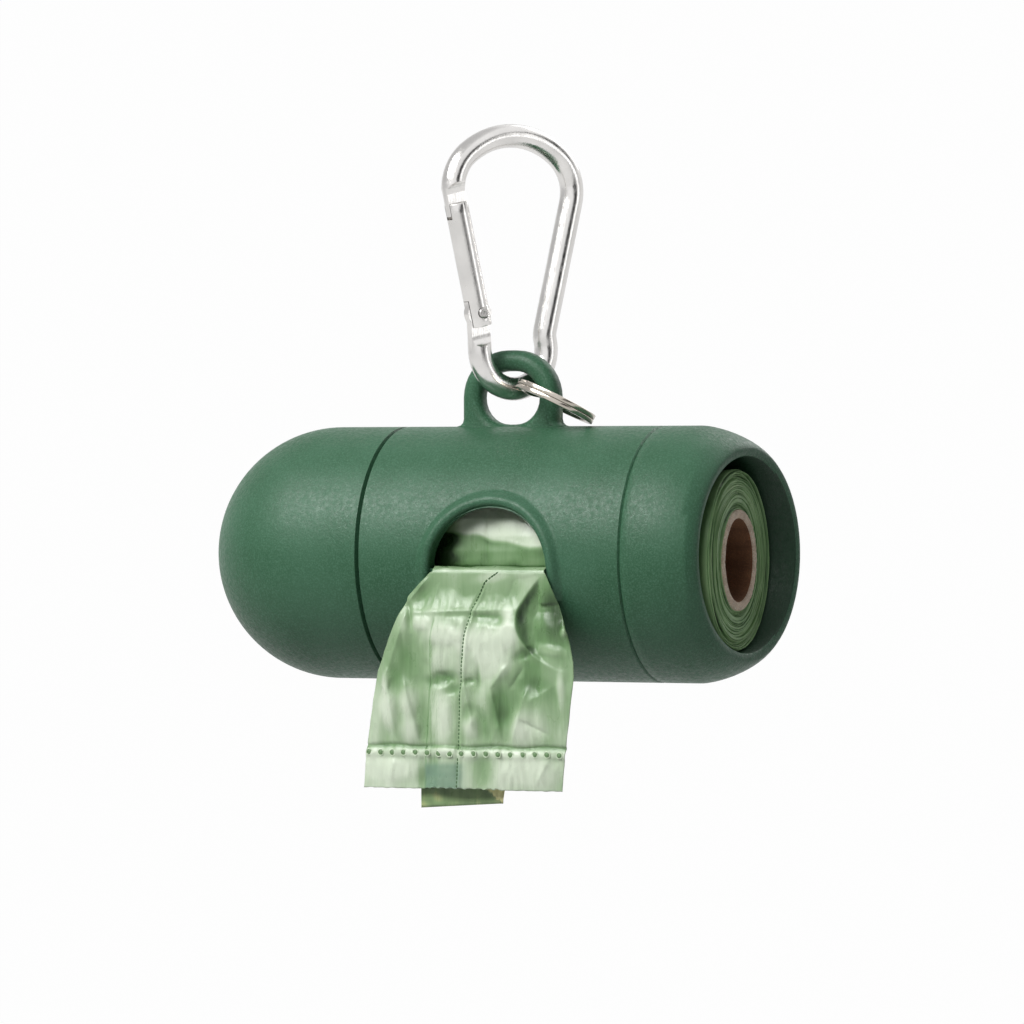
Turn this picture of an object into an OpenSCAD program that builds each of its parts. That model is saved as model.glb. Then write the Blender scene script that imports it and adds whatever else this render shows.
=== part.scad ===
// Capsule waste-bag dispenser that hangs from a small carabiner.
// Origin: the bearing point inside the top bend of the carabiner. +Z up, X along the capsule,
// -Y is the side that the bags come out of.

/* [Capsule] */
// Outside diameter of the capsule
capsule_d = 42; // [38:0.5:50]
// Thickness of the plastic walls
wall = 2.0; // [1.6:0.1:2.4]
// From the lug to the joint with the screw cap
lug_to_left_seam = 18.85; // [16:0.05:24]
// From the lug to the joint with the open end cap
lug_to_right_seam = 27.25; // [22:0.05:34]
// Half width of the V groove that shows at each joint
seam_groove = 0.3; // [0.1:0.05:0.5]

/* [Screw cap] */
// Length of the straight skirt before the dome
skirt_len = 12; // [10.5:0.5:18]
// Length of the threaded neck
neck_len = 9; // [8.5:0.1:9.5]
// Wall of the neck
neck_wall = 1.75; // [1.5:0.05:2]
// Radial gap between the neck and the inside of the skirt
thread_gap = 1.05; // [0.9:0.05:1.1]
// Height of each thread ridge
thread_h = 0.75; // [0.6:0.05:0.8]
// Advance of the thread in one turn
thread_lead = 5.2; // [4.8:0.1:5.6]
// Number of thread starts
thread_starts = 2; // [2:1:2]
// Turn that each start covers
thread_sweep = 320; // [200:10:340]
// Number of short ridges in each start
thread_ridges = 4; // [4:1:6]
// Turn left open between two ridges
thread_break = 16; // [8:1:20]
// Thickness of the sealing ring
seal_d = 1.3; // [1.1:0.05:1.4]
// Diameter of the hub that holds the core
hub_d = 11; // [8:0.2:11.2]
// How far the hub reaches into the core
hub_reach = 7; // [5:0.5:10]
// Diameter of the stop flange behind the core
stop_d = 19; // [17:0.5:24]
// Thickness of the stop flange
stop_t = 1.5; // [1.2:0.1:2.5]
// Bore of the hollow hub
hub_bore_d = 7.6; // [4:0.2:8]

/* [Open end cap] */
// Length from the joint to the crest of the lip
end_cap_len = 14.4; // [13:0.1:18]
// Diameter of the opening that the roll goes through
mouth_d = 32; // [31.5:0.1:33]
// Slant of the lip towards the front, in degrees
lip_slant = 8; // [0:1:9]
// Length of the rounding outside the lip
lip_round_len = 8; // [6:0.5:9]
// Radius of the rounding inside the lip
lip_inner_round = 1.2; // [0.8:0.1:1.5]
// Length of the spigot inside the centre body
spigot_len = 5; // [4:0.5:6]
// Wall of the spigot
spigot_wall = 1.6; // [1.2:0.1:2]

/* [Bag slot] */
// Half width of the slot, which is a half circle
slot_r = 10.3; // [10.1:0.1:12]
// Width of the raised rim round the slot
rim_w = 2.3; // [1.5:0.1:2.5]
// Height of the raised rim
rim_h = 0.8; // [0.5:0.1:1.2]
// Height of the flat lip of the slot below the capsule's axis
slot_drop = 2.2; // [1:0.1:4]
// Height of the rim under the flat lip
rim_under = 4.6; // [3:0.1:6]
// From the lug to the middle of the slot
slot_x = 4.4; // [3:0.1:6]

/* [Lug] */
// Width of the lug
lug_w = 17.1; // [16:0.1:19]
// Thickness of the lug
lug_t = 4.2; // [3.6:0.1:5]
// Width of the hole
eye_w = 10.2; // [9.8:0.1:11]
// Height of the hole
eye_h = 8.8; // [8.4:0.1:9.6]
// Rounding of the lug's edges
lug_round = 1.6; // [1:0.1:1.7]
// Height of the hole's centre above the top of the capsule
eye_rise = 4.7; // [4.5:0.1:6]

/* [Roll] */
// Diameter of the wound bags
roll_d = 29.6; // [24:0.2:30]
// Length of the roll
roll_len = 56; // [50:0.5:58]
// Outside diameter of the cardboard core
core_d = 16.5; // [15:0.1:18]
// Wall of the core
core_wall = 1.45; // [1:0.05:1.8]
// How far the end of the roll stands in from the crest of the lip
roll_inset = 1.9; // [0.5:0.1:4]
// How far the roll sags below the capsule's axis on the hub
roll_sag = 0.9; // [0.5:0.05:1]

/* [Bag] */
// Thickness of the drawn out film
film_t = 0.5; // [0.4:0.05:0.6]
// Width of the film in the slot
film_slot_w = 19.6; // [16:0.1:20]
// Length that hangs below the flat lip
bag_drop = 35.4; // [30:0.2:50]
// Width of the hanging bag at its widest
bag_w = 35.3; // [28:0.1:45]
// Width of the rear ply
tail_w = 14.6; // [10:0.1:20]
// How far the rear ply hangs below the front one
tail_drop = 3.3; // [1:0.1:6]

/* [Carabiner] */
// Diameter of the rod
rod_d = 3.9; // [3.5:0.05:4]
// Overall length of the carabiner
carabiner_len = 45.65; // [44:0.05:52]
// Overall width of the carabiner
carabiner_w = 27.2; // [26.5:0.1:29]
// Radius of the flat top of the large bend, to the middle of the rod
top_r = 14; // [13:0.5:18]
// Radius of the shoulders of the large bend
shoulder_r = 7.5; // [7:0.1:8]
// Radius of the small bend
foot_r = 6.5; // [6.2:0.1:6.8]
// Radius of the kink where the spine meets the small bend
kink_r = 4; // [3:0.5:6]
// Lean of the spine
spine_lean = 13.6; // [12:0.1:15]
// Turn of the carabiner's plane from the capsule's axis
hang_turn = 56; // [54:1:60]
// Gap between the rod and the top of the lug's hole
hang_gap = 0.95; // [0.9:0.05:1.1]
// Height of the gate's pivot above the middle of the small bend
pivot_rise = 5.9; // [5:0.1:7]
// Distance of the gate's pivot from the carabiner's middle line
pivot_out = 6.9; // [6.5:0.1:7.5]

/* [Gate] */
// Thickness of the flat tang and tongue
blade_t = 1.4; // [1:0.1:1.6]
// Clearance on each side of a blade in its slot
blade_clear = 0.1; // [0.06:0.01:0.15]
// Diameter of the rivet
rivet_d = 1.2; // [1:0.05:1.4]
// Diameter of the rivet's head
rivet_head_d = 1.8; // [1.6:0.05:2]
// Radius of the tang round the rivet
tang_r = 2.25; // [2.1:0.05:2.3]
// Length of the gate below the rivet
gate_heel = 2.2; // [1.9:0.05:2.4]
// Gap between the nose and the gate
nose_gap = 2.4; // [1.5:0.1:3]
// How far the tongue reaches into the gate
tongue_in = 2.0; // [1.5:0.1:2.5]
// Diameter of the gate's spring
spring_d = 1.2; // [1:0.05:1.3]
// Wire of the gate's spring
spring_wire = 0.25; // [0.2:0.01:0.3]
// Length of the gate's spring
spring_len = 7; // [5:0.5:9]

/* [Split ring] */
// Middle diameter of the split ring
ring_mid_d = 12.8; // [12.6:0.1:13]
// Width of the band, which is two coils
ring_band = 1.6; // [1.4:0.05:1.7]
// Thickness of the band towards the middle
ring_thick = 1.2; // [1:0.05:1.3]
// Place of the ring's middle from the lug's hole
ring_at = [8.75, -2.8, -0.65];
// Slope of the ring across the view from the front corner
ring_slope = 26.5; // [25:0.5:28]
// Turn of the ring about the upright line
ring_turn = 23.2; // [20:0.1:26]
// Tilt of the ring about its own slope
ring_tilt = -2.5; // [-4:0.1:0]

/* [Fits] */
// Gap of a running fit
run_fit = 0.05; // [0.04:0.01:0.1]
// Gap between the loose soft pieces and their neighbours
soft_gap = 0.3; // [0.3:0.05:0.4]

/* [Hidden] */
$fn = 96;

capsule_r = capsule_d / 2;
shell_in_r = capsule_r - wall;
left_seam = -lug_to_left_seam;
right_seam = lug_to_right_seam;
dome_x = left_seam - skirt_len;
lip_x = right_seam + end_cap_len;
mouth_r = mouth_d / 2;

// screw thread
neck_r = shell_in_r - thread_gap;
neck_end = left_seam - neck_len;
neck_bore_r = neck_r - neck_wall;
ridge_foot = 1.0;
ridge_crest = 0.55;
ridge_sink = 0.35;
seal_mid_r = neck_r + run_fit + seal_d / 2;
seal_x = left_seam - seal_d / 2 - run_fit;
thread_x = left_seam - seal_d - 2.3;

// roll
roll_r = roll_d / 2;
core_r = core_d / 2;
core_bore_r = core_r - core_wall;
roll_right = lip_x - roll_inset;
roll_left = roll_right - roll_len;
stop_x = roll_left - soft_gap;

// lug, heights above the capsule's axis
eye_z = capsule_r + eye_rise;
eye_r = eye_h / 2;
eye_shift = (eye_w - eye_h) / 2;
lug_r = lug_w / 2 - eye_shift;

// carabiner, in its own plane: across it, and up from the bearing point
rod_r = rod_d / 2;
foot_z = 1.5 * rod_d - carabiner_len;
foot_c = [0, foot_z + foot_r];
half_w = carabiner_w / 2 - rod_r;
top_a = asin((half_w - shoulder_r) / (top_r - shoulder_r));
shoulder_c = [half_w - shoulder_r, rod_r - top_r + (top_r - shoulder_r) * cos(top_a)];
spine_top = shoulder_c + shoulder_r * [cos(spine_lean), -sin(spine_lean)];
spine_n = [cos(spine_lean), -sin(spine_lean)];
kink_turn = acos((spine_top * spine_n + kink_r - foot_c * spine_n) / (foot_r + kink_r));
foot_a = kink_turn - spine_lean;
kink_c = foot_c + (foot_r + kink_r) * [cos(foot_a), sin(foot_a)];
spine_foot = kink_c - kink_r * spine_n;
pivot = foot_c + [-pivot_out, pivot_rise];
pivot_far = norm(pivot - foot_c);
leg_a = atan2(pivot_rise, -pivot_out) + acos(foot_r / pivot_far);
leg_foot = foot_c + foot_r * [cos(leg_a), sin(leg_a)];
leg_dir = (pivot - leg_foot) / norm(pivot - leg_foot);
nose = [-half_w, shoulder_c[1]];
gate_len = norm(nose - pivot) - nose_gap;
gate_dir = (nose - pivot) / norm(nose - pivot);
gate_lean = atan2(-gate_dir[0], gate_dir[1]);
slot_floor = tang_r + 0.1;
mill_r = 2.2;

// place of the capsule's axis
axis_z = foot_z - (eye_z + eye_r - rod_r - hang_gap);

// bag
film_y = capsule_r + rim_h + soft_gap + film_t / 2;
film_x = slot_x + 0.2;

// ---------- helpers ----------

// stands its children in the capsule's own frame, with the axis at height 0
module in_capsule() {
    translate([0, 0, axis_z])
        children();
}

// turns a profile of [radius, x] points about the capsule's axis
module turned(profile) {
    rotate([0, 90, 0])
        rotate_extrude()
            polygon(profile);
}

// cylinder along X between two places
module rod_x(r, x0, x1, z = 0) {
    translate([x0, 0, z])
        rotate([0, 90, 0])
            cylinder(r = r, h = x1 - x0);
}

// the carabiner's plane: children are drawn across, up
module in_plane() {
    rotate([0, 0, hang_turn])
        rotate([90, 0, 0])
            children();
}

// [x, y, heading] stations along an arc about c, walked from angle a0 to a1
function arc(c, r, a0, a1, n) = [for (i = [0:n]) let (a = a0 + (a1 - a0) * i / n)
    [c[0] + r * cos(a), c[1] + r * sin(a), a1 > a0 ? a + 90 : a - 90]];

// round rod swept along stations in the plane
module rod_sweep(stations) {
    n = len(stations);
    sides = 24;
    pts = [for (s = stations, k = [0:sides - 1]) let (b = 360 * k / sides, q = rod_r * cos(b))
        [s[0] - q * sin(s[2]), s[1] + q * cos(s[2]), rod_r * sin(b)]];
    skin = [for (i = [0:n - 2], k = [0:sides - 1])
        let (a = sides * i + k, b = sides * i + (k + 1) % sides)
        for (f = [[a, a + sides, b], [b, a + sides, b + sides]]) f];
    last = sides * (n - 1);
    ends = [[for (k = [0:sides - 1]) k], [for (k = [sides - 1:-1:0]) last + k]];
    polyhedron(pts, concat(skin, ends));
}

// frame with +Y up the gate from the pivot
module on_gate() {
    in_plane()
        translate([pivot[0], pivot[1], 0])
            rotate([0, 0, gate_lean])
                children();
}

// both milled flats of a blade: cut away from height y0 upwards
module blade_cut(y0, h) {
    for (side = [-1, 1]) {
        translate([-rod_d, y0, side > 0 ? blade_t / 2 : -blade_t / 2 - rod_d])
            cube([2 * rod_d, h, rod_d]);
        translate([-rod_d, y0, side * (blade_t / 2 + mill_r)])
            rotate([0, 90, 0])
                cylinder(r = mill_r, h = 2 * rod_d);
    }
}

// interrupted thread round the X axis: short ridges from radius base_r to crest_r, each an arc
// tilted by the thread's slope
module thread(base_r, crest_r, shift) {
    pitch = thread_sweep / thread_ridges;
    slope = atan(thread_lead / (2 * PI * crest_r));
    translate([thread_x, 0, 0])
        rotate([0, 90, 0])
            for (s = [0:thread_starts - 1], i = [0:thread_ridges - 1]) {
                turn = (i + 0.5) * pitch - thread_sweep;
                translate([0, 0, thread_lead * turn / 360])
                    rotate([0, 0, turn + shift + s * 360 / thread_starts])
                        rotate([slope, 0, 0])
                            rotate([0, 0, -(pitch - thread_break) / 2])
                                rotate_extrude(angle = pitch - thread_break)
                                    polygon([
                                        [base_r, -ridge_foot / 2], [base_r, ridge_foot / 2],
                                        [crest_r, ridge_crest / 2], [crest_r, -ridge_crest / 2],
                                    ]);
            }
}

// ---------- carabiner ----------

// middle line of the bent rod, from the tip of the nose to the tip of the short leg
rod_path = concat(
    [[nose[0] - gate_dir[0] * (nose_gap + tongue_in), nose[1] - gate_dir[1] * (nose_gap + tongue_in),
        90 + gate_lean]],
    arc([-shoulder_c[0], shoulder_c[1]], shoulder_r, 180, 90 + top_a, 10),
    arc([0, rod_r - top_r], top_r, 88 + top_a, 92 - top_a, 14),
    arc(shoulder_c, shoulder_r, 90 - top_a, -spine_lean, 12),
    arc(kink_c, kink_r, 180 - spine_lean, 180 + foot_a, 5),
    arc(foot_c, foot_r, foot_a, leg_a - 360, 32),
    [[pivot[0], pivot[1], atan2(leg_dir[1], leg_dir[0])]]
);

module carabiner_frame() {
    color("silver") difference() {
        union() {
            difference() {
                in_plane()
                    rod_sweep(rod_path);
                on_gate() {
                    translate([0, 2 * (gate_len + nose_gap - 0.9), 0])
                        mirror([0, 1, 0])
                            blade_cut(gate_len + nose_gap - 0.9, 2 * nose_gap + tongue_in);
                    blade_cut(-gate_heel - 1.2, 2 * gate_heel + 2);
                }
            }
            on_gate()
                translate([0, 0, -blade_t / 2])
                    linear_extrude(blade_t)
                        tang_outline();
        }
        on_gate()
            translate([0, 0, -rod_d])
                cylinder(d = rivet_d, h = 2 * rod_d);
    }
}

// square towards the outside, so that the closed gate stops against it, and round inside
module tang_outline() {
    circle(r = tang_r);
    translate([-rod_r + 0.1, 0])
        square([rod_r, tang_r]);
}

module gate_rivet() {
    color("gainsboro") on_gate() {
        translate([0, 0, -rod_r])
            cylinder(d = rivet_d, h = rod_d);
        for (side = [-1, 1])
            intersection() {
                translate([0, 0, side * (rod_r - 0.9)])
                    sphere(r = 1.1);
                translate([0, 0, side > 0 ? rod_r - 0.3 : -rod_r - 0.5])
                    cylinder(d = rivet_head_d, h = 0.8);
            }
    }
}

module carabiner_gate() {
    color("silver") on_gate() difference() {
        translate([0, -gate_heel, 0])
            rotate([-90, 0, 0])
                cylinder(r = rod_r, h = gate_heel + gate_len);
        gate_slot(-gate_heel - 1, slot_floor);
        gate_slot(gate_len - tongue_in - 0.5, gate_len + 1);
        translate([0, 0, -rod_d])
            cylinder(d = rivet_d + 2 * run_fit, h = 2 * rod_d);
        for (side = [-1, 1])
            translate([0, 0, side > 0 ? rod_r - 0.4 : -rod_r - 1])
                cylinder(d = rivet_head_d + 4 * run_fit, h = 1.4);
        translate([0, slot_floor - 1, 0])
            rotate([-90, 0, 0])
                cylinder(d = spring_d + 0.3, h = spring_len + 1);
    }
}

// slot across the gate from height y0 to y1
module gate_slot(y0, y1) {
    t = blade_t + 2 * blade_clear;
    translate([-rod_d, y0, -t / 2])
        cube([2 * rod_d, y1 - y0, t]);
}

module gate_spring() {
    turns = 9;
    steps = turns * 12;
    sides = 6;
    r = (spring_d - spring_wire) / 2;
    h = spring_len - 2 * spring_wire;
    pts = [for (i = [0:steps], k = [0:sides - 1])
        let (a = 360 * turns * i / steps, b = 360 * k / sides, q = r + spring_wire / 2 * cos(b))
        [q * cos(a), q * sin(a), h * i / steps + spring_wire / 2 * sin(b)]];
    body = [for (i = [0:steps - 1], k = [0:sides - 1])
        let (a = sides * i + k, b = sides * i + (k + 1) % sides)
        for (f = [[a, b, a + sides], [b, b + sides, a + sides]]) f];
    last = sides * steps;
    caps = [[for (k = [sides - 1:-1:0]) k], [for (k = [0:sides - 1]) last + k]];
    color("gray") on_gate()
        translate([0, slot_floor, 0])
            rotate([-90, 0, 0])
                polyhedron(pts, concat(body, caps));
}

// ---------- split ring ----------

module split_ring() {
    b = ring_band / 2;
    t = ring_thick / 2;
    g = 0.12;
    color("lightgray") in_capsule()
        translate([ring_at[0], ring_at[1], eye_z + ring_at[2]])
            rotate([0, 0, ring_turn])
                rotate([ring_tilt, ring_slope, 0])
                    rotate_extrude()
                        translate([ring_mid_d / 2, 0])
                            polygon([
                                [-t + g, -b], [t - g, -b], [t, -b + g], [t, -g], [t - g, 0], [t, g],
                                [t, b - g], [t - g, b], [-t + g, b], [-t, b - g], [-t, g],
                                [-t + g, 0], [-t, -g], [-t, -b + g],
                            ]);
}

// ---------- capsule ----------

module centre_body() {
    color([0.235, 0.41, 0.31]) in_capsule() {
        difference() {
            union() {
                tube();
                difference() {
                    intersection() {
                        rod_x(capsule_r + rim_h, left_seam + 1, right_seam - 1);
                        slot_prism(slot_r + rim_w, rim_under);
                    }
                    rod_x(capsule_r - wall / 2, left_seam, right_seam);
                }
            }
            slot_prism(slot_r, 0);
        }
        thread(neck_r - ridge_sink, neck_r + thread_h, 0);
        lug();
    }
}

// wall of the centre body with its neck on the left
module tube() {
    g = seam_groove;
    turned([
        [neck_bore_r, neck_end], [neck_r - 0.3, neck_end], [neck_r, neck_end + 0.3],
        [neck_r, left_seam], [capsule_r - g, left_seam], [capsule_r, left_seam + g],
        [capsule_r, right_seam - g], [capsule_r - g, right_seam], [shell_in_r, right_seam],
        [shell_in_r, left_seam + wall + 2], [neck_bore_r, left_seam + wall - 1],
    ]);
}

// half round prism on the front, with a flat foot that lies d below the slot's lip
module slot_prism(r, d) {
    translate([slot_x, 0, -slot_drop])
        rotate([90, 0, 0])
            linear_extrude(capsule_d) {
                intersection() {
                    circle(r = r);
                    translate([-r, 0])
                        square([2 * r, r]);
                }
                if (d > 0)
                    translate([-r, -d])
                        square([2 * r, d]);
            }
}

// eye that the carabiner passes through: a rounded bar section swept round the hole, whose
// outside runs down into flared feet inside the wall
module lug() {
    q = min(lug_round, lug_t / 2 - 0.1, (lug_r - eye_r) / 2 - 0.05);
    flat = lug_t / 2 - q;
    half = lug_w / 2;
    flare = 1.2;
    foot = capsule_r - 1.5;
    // [inside x, inside z, inside angle, outside x, outside z, pull of the rounding in x, in z]
    arch = [for (i = [0:10]) let (a = 9 * i)
        [eye_shift + eye_r * cos(a), eye_r * sin(a), a,
            eye_shift + lug_r * cos(a), lug_r * sin(a), cos(a), sin(a)]];
    leg = [
        for (b = [0:30:90])
            [half + flare * (1 - cos(b)), capsule_r + flare * (1 - sin(b)) - eye_z, 1],
        [half + flare, foot - eye_z, 1], [half / 2, foot - eye_z, 0], [eye_shift, foot - eye_z, 0],
    ];
    legs = len(leg);
    low = [for (i = [0:legs - 1]) let (a = -90 * (i + 1) / legs)
        [eye_shift + eye_r * cos(a), eye_r * sin(a), a, leg[i][0], leg[i][1], leg[i][2], 0]];
    right = concat([for (i = [legs - 1:-1:0]) low[i]], arch);
    n = len(right);
    left = [for (i = [n - 1:-1:0]) let (p = right[i])
        [-p[0], p[1], 180 - p[2], -p[3], p[4], -p[5], p[6]]];
    stations = concat(right, left);
    half_section = [for (s = [-1, 1], b = s < 0 ? [-90:22.5:0] : [0:22.5:90])
        [q * (1 - cos(b)), s * flat + q * sin(b)]];
    m = 2 * len(half_section);
    pts = [for (p = stations) each concat(
        [for (h = half_section) [p[3] - h[0] * p[5], h[1], eye_z + p[4] - h[0] * p[6]]],
        [for (h = half_section) [p[0] + h[0] * cos(p[2]), -h[1], eye_z + p[1] + h[0] * sin(p[2])]])];
    faces = [for (i = [0:2 * n - 1], k = [0:m - 1])
        let (r = m * i, t = m * ((i + 1) % (2 * n)), l = (k + 1) % m)
        for (f = [[r + k, t + k, r + l], [r + l, t + k, t + l]]) f];
    polyhedron(pts, faces);
}

module right_cap() {
    color([0.235, 0.41, 0.31]) in_capsule() difference() {
        union() {
            lip_shell();
            rod_x(shell_in_r - run_fit, right_seam - spigot_len, right_seam + 2);
        }
        rod_x(mouth_r, right_seam - spigot_len - 1, lip_x + capsule_r);
        rod_x(shell_in_r - spigot_wall, right_seam - spigot_len - 1, right_seam + spigot_len);
    }
}

// outside of the end cap, rounded over to a lip that slants towards the front
module lip_shell() {
    around = 96;
    crest_r = mouth_r + lip_inner_round;
    depth = capsule_r - crest_r;
    start = lip_x - lip_round_len;
    power = 1.35;
    outer = [for (i = [0:12]) let (a = 7.5 * i)
        [start + lip_round_len * pow(sin(a), power), crest_r + depth * pow(cos(a), power), sin(a)]];
    inner = [for (i = [1:5]) let (a = 18 * i)
        [lip_x - lip_inner_round * (1 - cos(a)), crest_r - 1.4 * lip_inner_round * sin(a), 1]];
    profile = concat([[right_seam, capsule_r - seam_groove, 0], [right_seam + seam_groove, capsule_r, 0]],
        outer, inner);
    rings = len(profile);
    pts = concat(
        [for (p = profile, k = [0:around - 1]) let (a = 360 * k / around)
            [p[0] + tan(lip_slant) * p[1] * cos(a) * p[2], p[1] * cos(a), p[1] * sin(a)]],
        [[right_seam, 0, 0], [profile[rings - 1][0], 0, 0]]);
    sides = [for (i = [0:rings - 2], k = [0:around - 1])
        let (a = around * i + k, b = around * i + (k + 1) % around)
        for (f = [[a, a + around, b], [b, a + around, b + around]]) f];
    back = around * rings;
    foot = around * (rings - 1);
    ends = [for (k = [0:around - 1]) let (n = (k + 1) % around)
        for (f = [[k, n, back], [foot + k, back + 1, foot + n]]) f];
    polyhedron(pts, concat(sides, ends));
}

module left_cap() {
    color([0.235, 0.41, 0.31]) in_capsule() {
        rotate([0, 90, 0])
            rotate_extrude()
                difference() {
                    dome_outline(capsule_r, seam_groove);
                    dome_outline(shell_in_r, -1);
                    seal_seat();
                }
        thread(shell_in_r + ridge_sink, shell_in_r - thread_h, 90);
        hub();
    }
}

// half section of the skirt and dome at radius r, with a chamfer g at the mouth
module dome_outline(r, g) {
    intersection() {
        translate([0, dome_x])
            circle(r = r);
        translate([0, dome_x - r])
            square(r);
    }
    c = max(g, 0);
    mouth = left_seam - min(g, 0) - (g > 0 ? run_fit : 0);
    polygon([[0, dome_x], [r, dome_x], [r, mouth - c], [r - c, mouth], [0, mouth]]);
}

// counterbore in the mouth of the cap that closes over the sealing ring on the neck
module seal_seat() {
    w = seal_d / 2 + run_fit;
    translate([0, seal_x - w])
        square([seal_mid_r + w, 4 * w]);
}

// hollow post from the dome into the core, with a stop flange
module hub() {
    r = hub_d / 2;
    tip = roll_left + hub_reach;
    root_x = dome_x - sqrt(pow(shell_in_r + wall / 2, 2) - r * r);
    turned([
        [hub_bore_d / 2, root_x], [r, root_x], [r, stop_x - stop_t], [stop_d / 2, stop_x - stop_t],
        [stop_d / 2, stop_x], [r, stop_x], [r, tip - 1], [r - 1, tip], [hub_bore_d / 2, tip],
    ]);
}

module cap_seal() {
    color("black") in_capsule()
        translate([seal_x, 0, 0])
            rotate([0, 90, 0])
                rotate_extrude()
                    translate([seal_mid_r, 0])
                        circle(d = seal_d, $fn = 32);
}

// ---------- roll and bags ----------

module roll_core() {
    color("tan") in_capsule() difference() {
        rod_x(core_r, roll_left, roll_right, -roll_sag);
        rod_x(core_bore_r, roll_left - 1, roll_right + 1, -roll_sag);
    }
}

module bag_roll() {
    color([0.45, 0.6, 0.42]) in_capsule() difference() {
        rod_x(roll_r, roll_left, roll_right, -roll_sag);
        rod_x(core_r + run_fit, roll_left - 1, roll_right + 1, -roll_sag);
    }
}

// front film: from the roll over the flat lip, then straight down
module leading_bag() {
    lip_z = -slot_drop + soft_gap;
    foot_z = -slot_drop - bag_drop;
    near_y = -film_y - film_t / 2;
    color([0.55, 0.7, 0.5]) in_capsule() {
        translate([film_x - film_slot_w / 2, 0, 0])
            rotate([90, 0, 90])
                linear_extrude(film_slot_w)
                    polygon([
                        [near_y, lip_z + film_t], [near_y, lip_z - 1], [near_y + film_t, lip_z - 1],
                        [near_y + film_t, lip_z], [-roll_r - 1.5 - soft_gap, lip_z],
                        [-roll_r - soft_gap, lip_z + 2], [-roll_r - soft_gap, lip_z + 2 + film_t],
                        [-roll_r - soft_gap - film_t, lip_z + 2 + film_t],
                        [-roll_r - 1.5 - soft_gap - film_t / 2, lip_z + film_t],
                    ]);
        translate([0, near_y + film_t, 0])
            rotate([90, 0, 0])
                linear_extrude(film_t)
                    polygon([
                        [film_x - film_slot_w / 2, lip_z + film_t],
                        [film_x + film_slot_w / 2, lip_z + film_t],
                        [film_x + bag_w * 0.4, lip_z - bag_drop * 0.2],
                        [film_x + bag_w * 0.45, lip_z - bag_drop * 0.42],
                        [film_x + bag_w * 0.4, foot_z],
                        [film_x - bag_w * 0.6, foot_z],
                        [film_x - bag_w * 0.5, lip_z - bag_drop * 0.42],
                        [film_x - bag_w * 0.37, lip_z - bag_drop * 0.16],
                    ]);
    }
}

// rear ply of the same bag, which shows below the front one
module bag_tail() {
    top = -slot_drop - rim_under - 2;
    color([0.5, 0.65, 0.45]) in_capsule()
        translate([slot_x - 4.2 - tail_w / 2, -film_y + film_t / 2, top])
            mirror([0, 0, 1])
                cube([tail_w, film_t, top + slot_drop + bag_drop + tail_drop]);
}

carabiner_frame();
gate_rivet();
carabiner_gate();
gate_spring();
split_ring();
centre_body();
right_cap();
left_cap();
cap_seal();
roll_core();
bag_roll();
leading_bag();
bag_tail();
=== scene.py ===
import bmesh
import bpy
import math
from mathutils import Matrix, Vector, noise


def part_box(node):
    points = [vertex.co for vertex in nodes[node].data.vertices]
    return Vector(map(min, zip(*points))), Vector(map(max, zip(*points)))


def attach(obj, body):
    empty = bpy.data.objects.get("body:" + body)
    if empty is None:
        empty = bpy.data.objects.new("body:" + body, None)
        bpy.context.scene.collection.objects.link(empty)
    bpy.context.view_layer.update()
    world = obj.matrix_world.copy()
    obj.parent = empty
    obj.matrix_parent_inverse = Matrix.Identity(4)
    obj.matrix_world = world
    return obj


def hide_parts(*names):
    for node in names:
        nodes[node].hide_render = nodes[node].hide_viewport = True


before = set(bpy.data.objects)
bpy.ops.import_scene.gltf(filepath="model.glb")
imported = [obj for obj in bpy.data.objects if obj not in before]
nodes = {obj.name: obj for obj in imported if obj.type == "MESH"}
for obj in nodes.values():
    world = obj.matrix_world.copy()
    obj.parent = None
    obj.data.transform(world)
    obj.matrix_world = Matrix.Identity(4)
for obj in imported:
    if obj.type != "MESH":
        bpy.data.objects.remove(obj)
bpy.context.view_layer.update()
scene = bpy.context.scene
scene.view_settings.view_transform = "Standard"
print("frame loaded:", len(nodes), "nodes")

mm = 0.001
shellRadius = 21.0
# height of the capsule's axis below the carabiner's bearing point
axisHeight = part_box("left_cap")[0].z / mm + shellRadius


def sind(a):
    return math.sin(math.radians(a))


def cosd(a):
    return math.cos(math.radians(a))


def around(n):
    # n angles evenly round a full turn
    return [360 * k / n for k in range(n)]


def clamp(t):
    return min(1.0, max(0.0, t))


def ease(a, b, t):
    # 0 before a, 1 after b, smooth between
    t = clamp((t - a) / (b - a))
    return t * t * (3 - 2 * t)


def lookUp(table, t):
    # value at t in a rising list of (t, value), straight between its points
    if t <= table[0][0]:
        return table[0][1]
    for (t0, v0), (t1, v1) in zip(table, table[1:]):
        if t <= t1:
            return v0 + (v1 - v0) * (t - t0) / (t1 - t0)
    return table[-1][1]


def hump(q):
    # 1 at q = 0, falling smoothly to nothing on both sides
    return math.exp(-q ** 2)


def noiseAt(x, y, z):
    return noise.noise(Vector((x, y, z)))


def srgb(r, g, b):
    # colour picked as screen values, turned into the renderer's own
    parts = (c / 255 for c in (r, g, b))
    return tuple(((c + 0.055) / 1.055) ** 2.4 if c > 0.04 else c / 12.92 for c in parts) + (1,)


def newObject(name, data):
    obj = bpy.data.objects.new(name, data)
    scene.collection.objects.link(obj)
    return obj


def addNode(owner, kind, **settings):
    # the owner is a node tree or has one
    node = getattr(owner, "node_tree", owner).nodes.new(kind)
    for key, value in settings.items():
        setattr(node, key, value)
    return node


def join(owner, *pairs):
    # links, as pairs of output and input
    for out, into in pairs:
        getattr(owner, "node_tree", owner).links.new(out, into)


def setInputs(node, **values):
    # sockets by name, with _ for a space
    for key, value in values.items():
        node.inputs[key.replace("_", " ")].default_value = value
    return node


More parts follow.
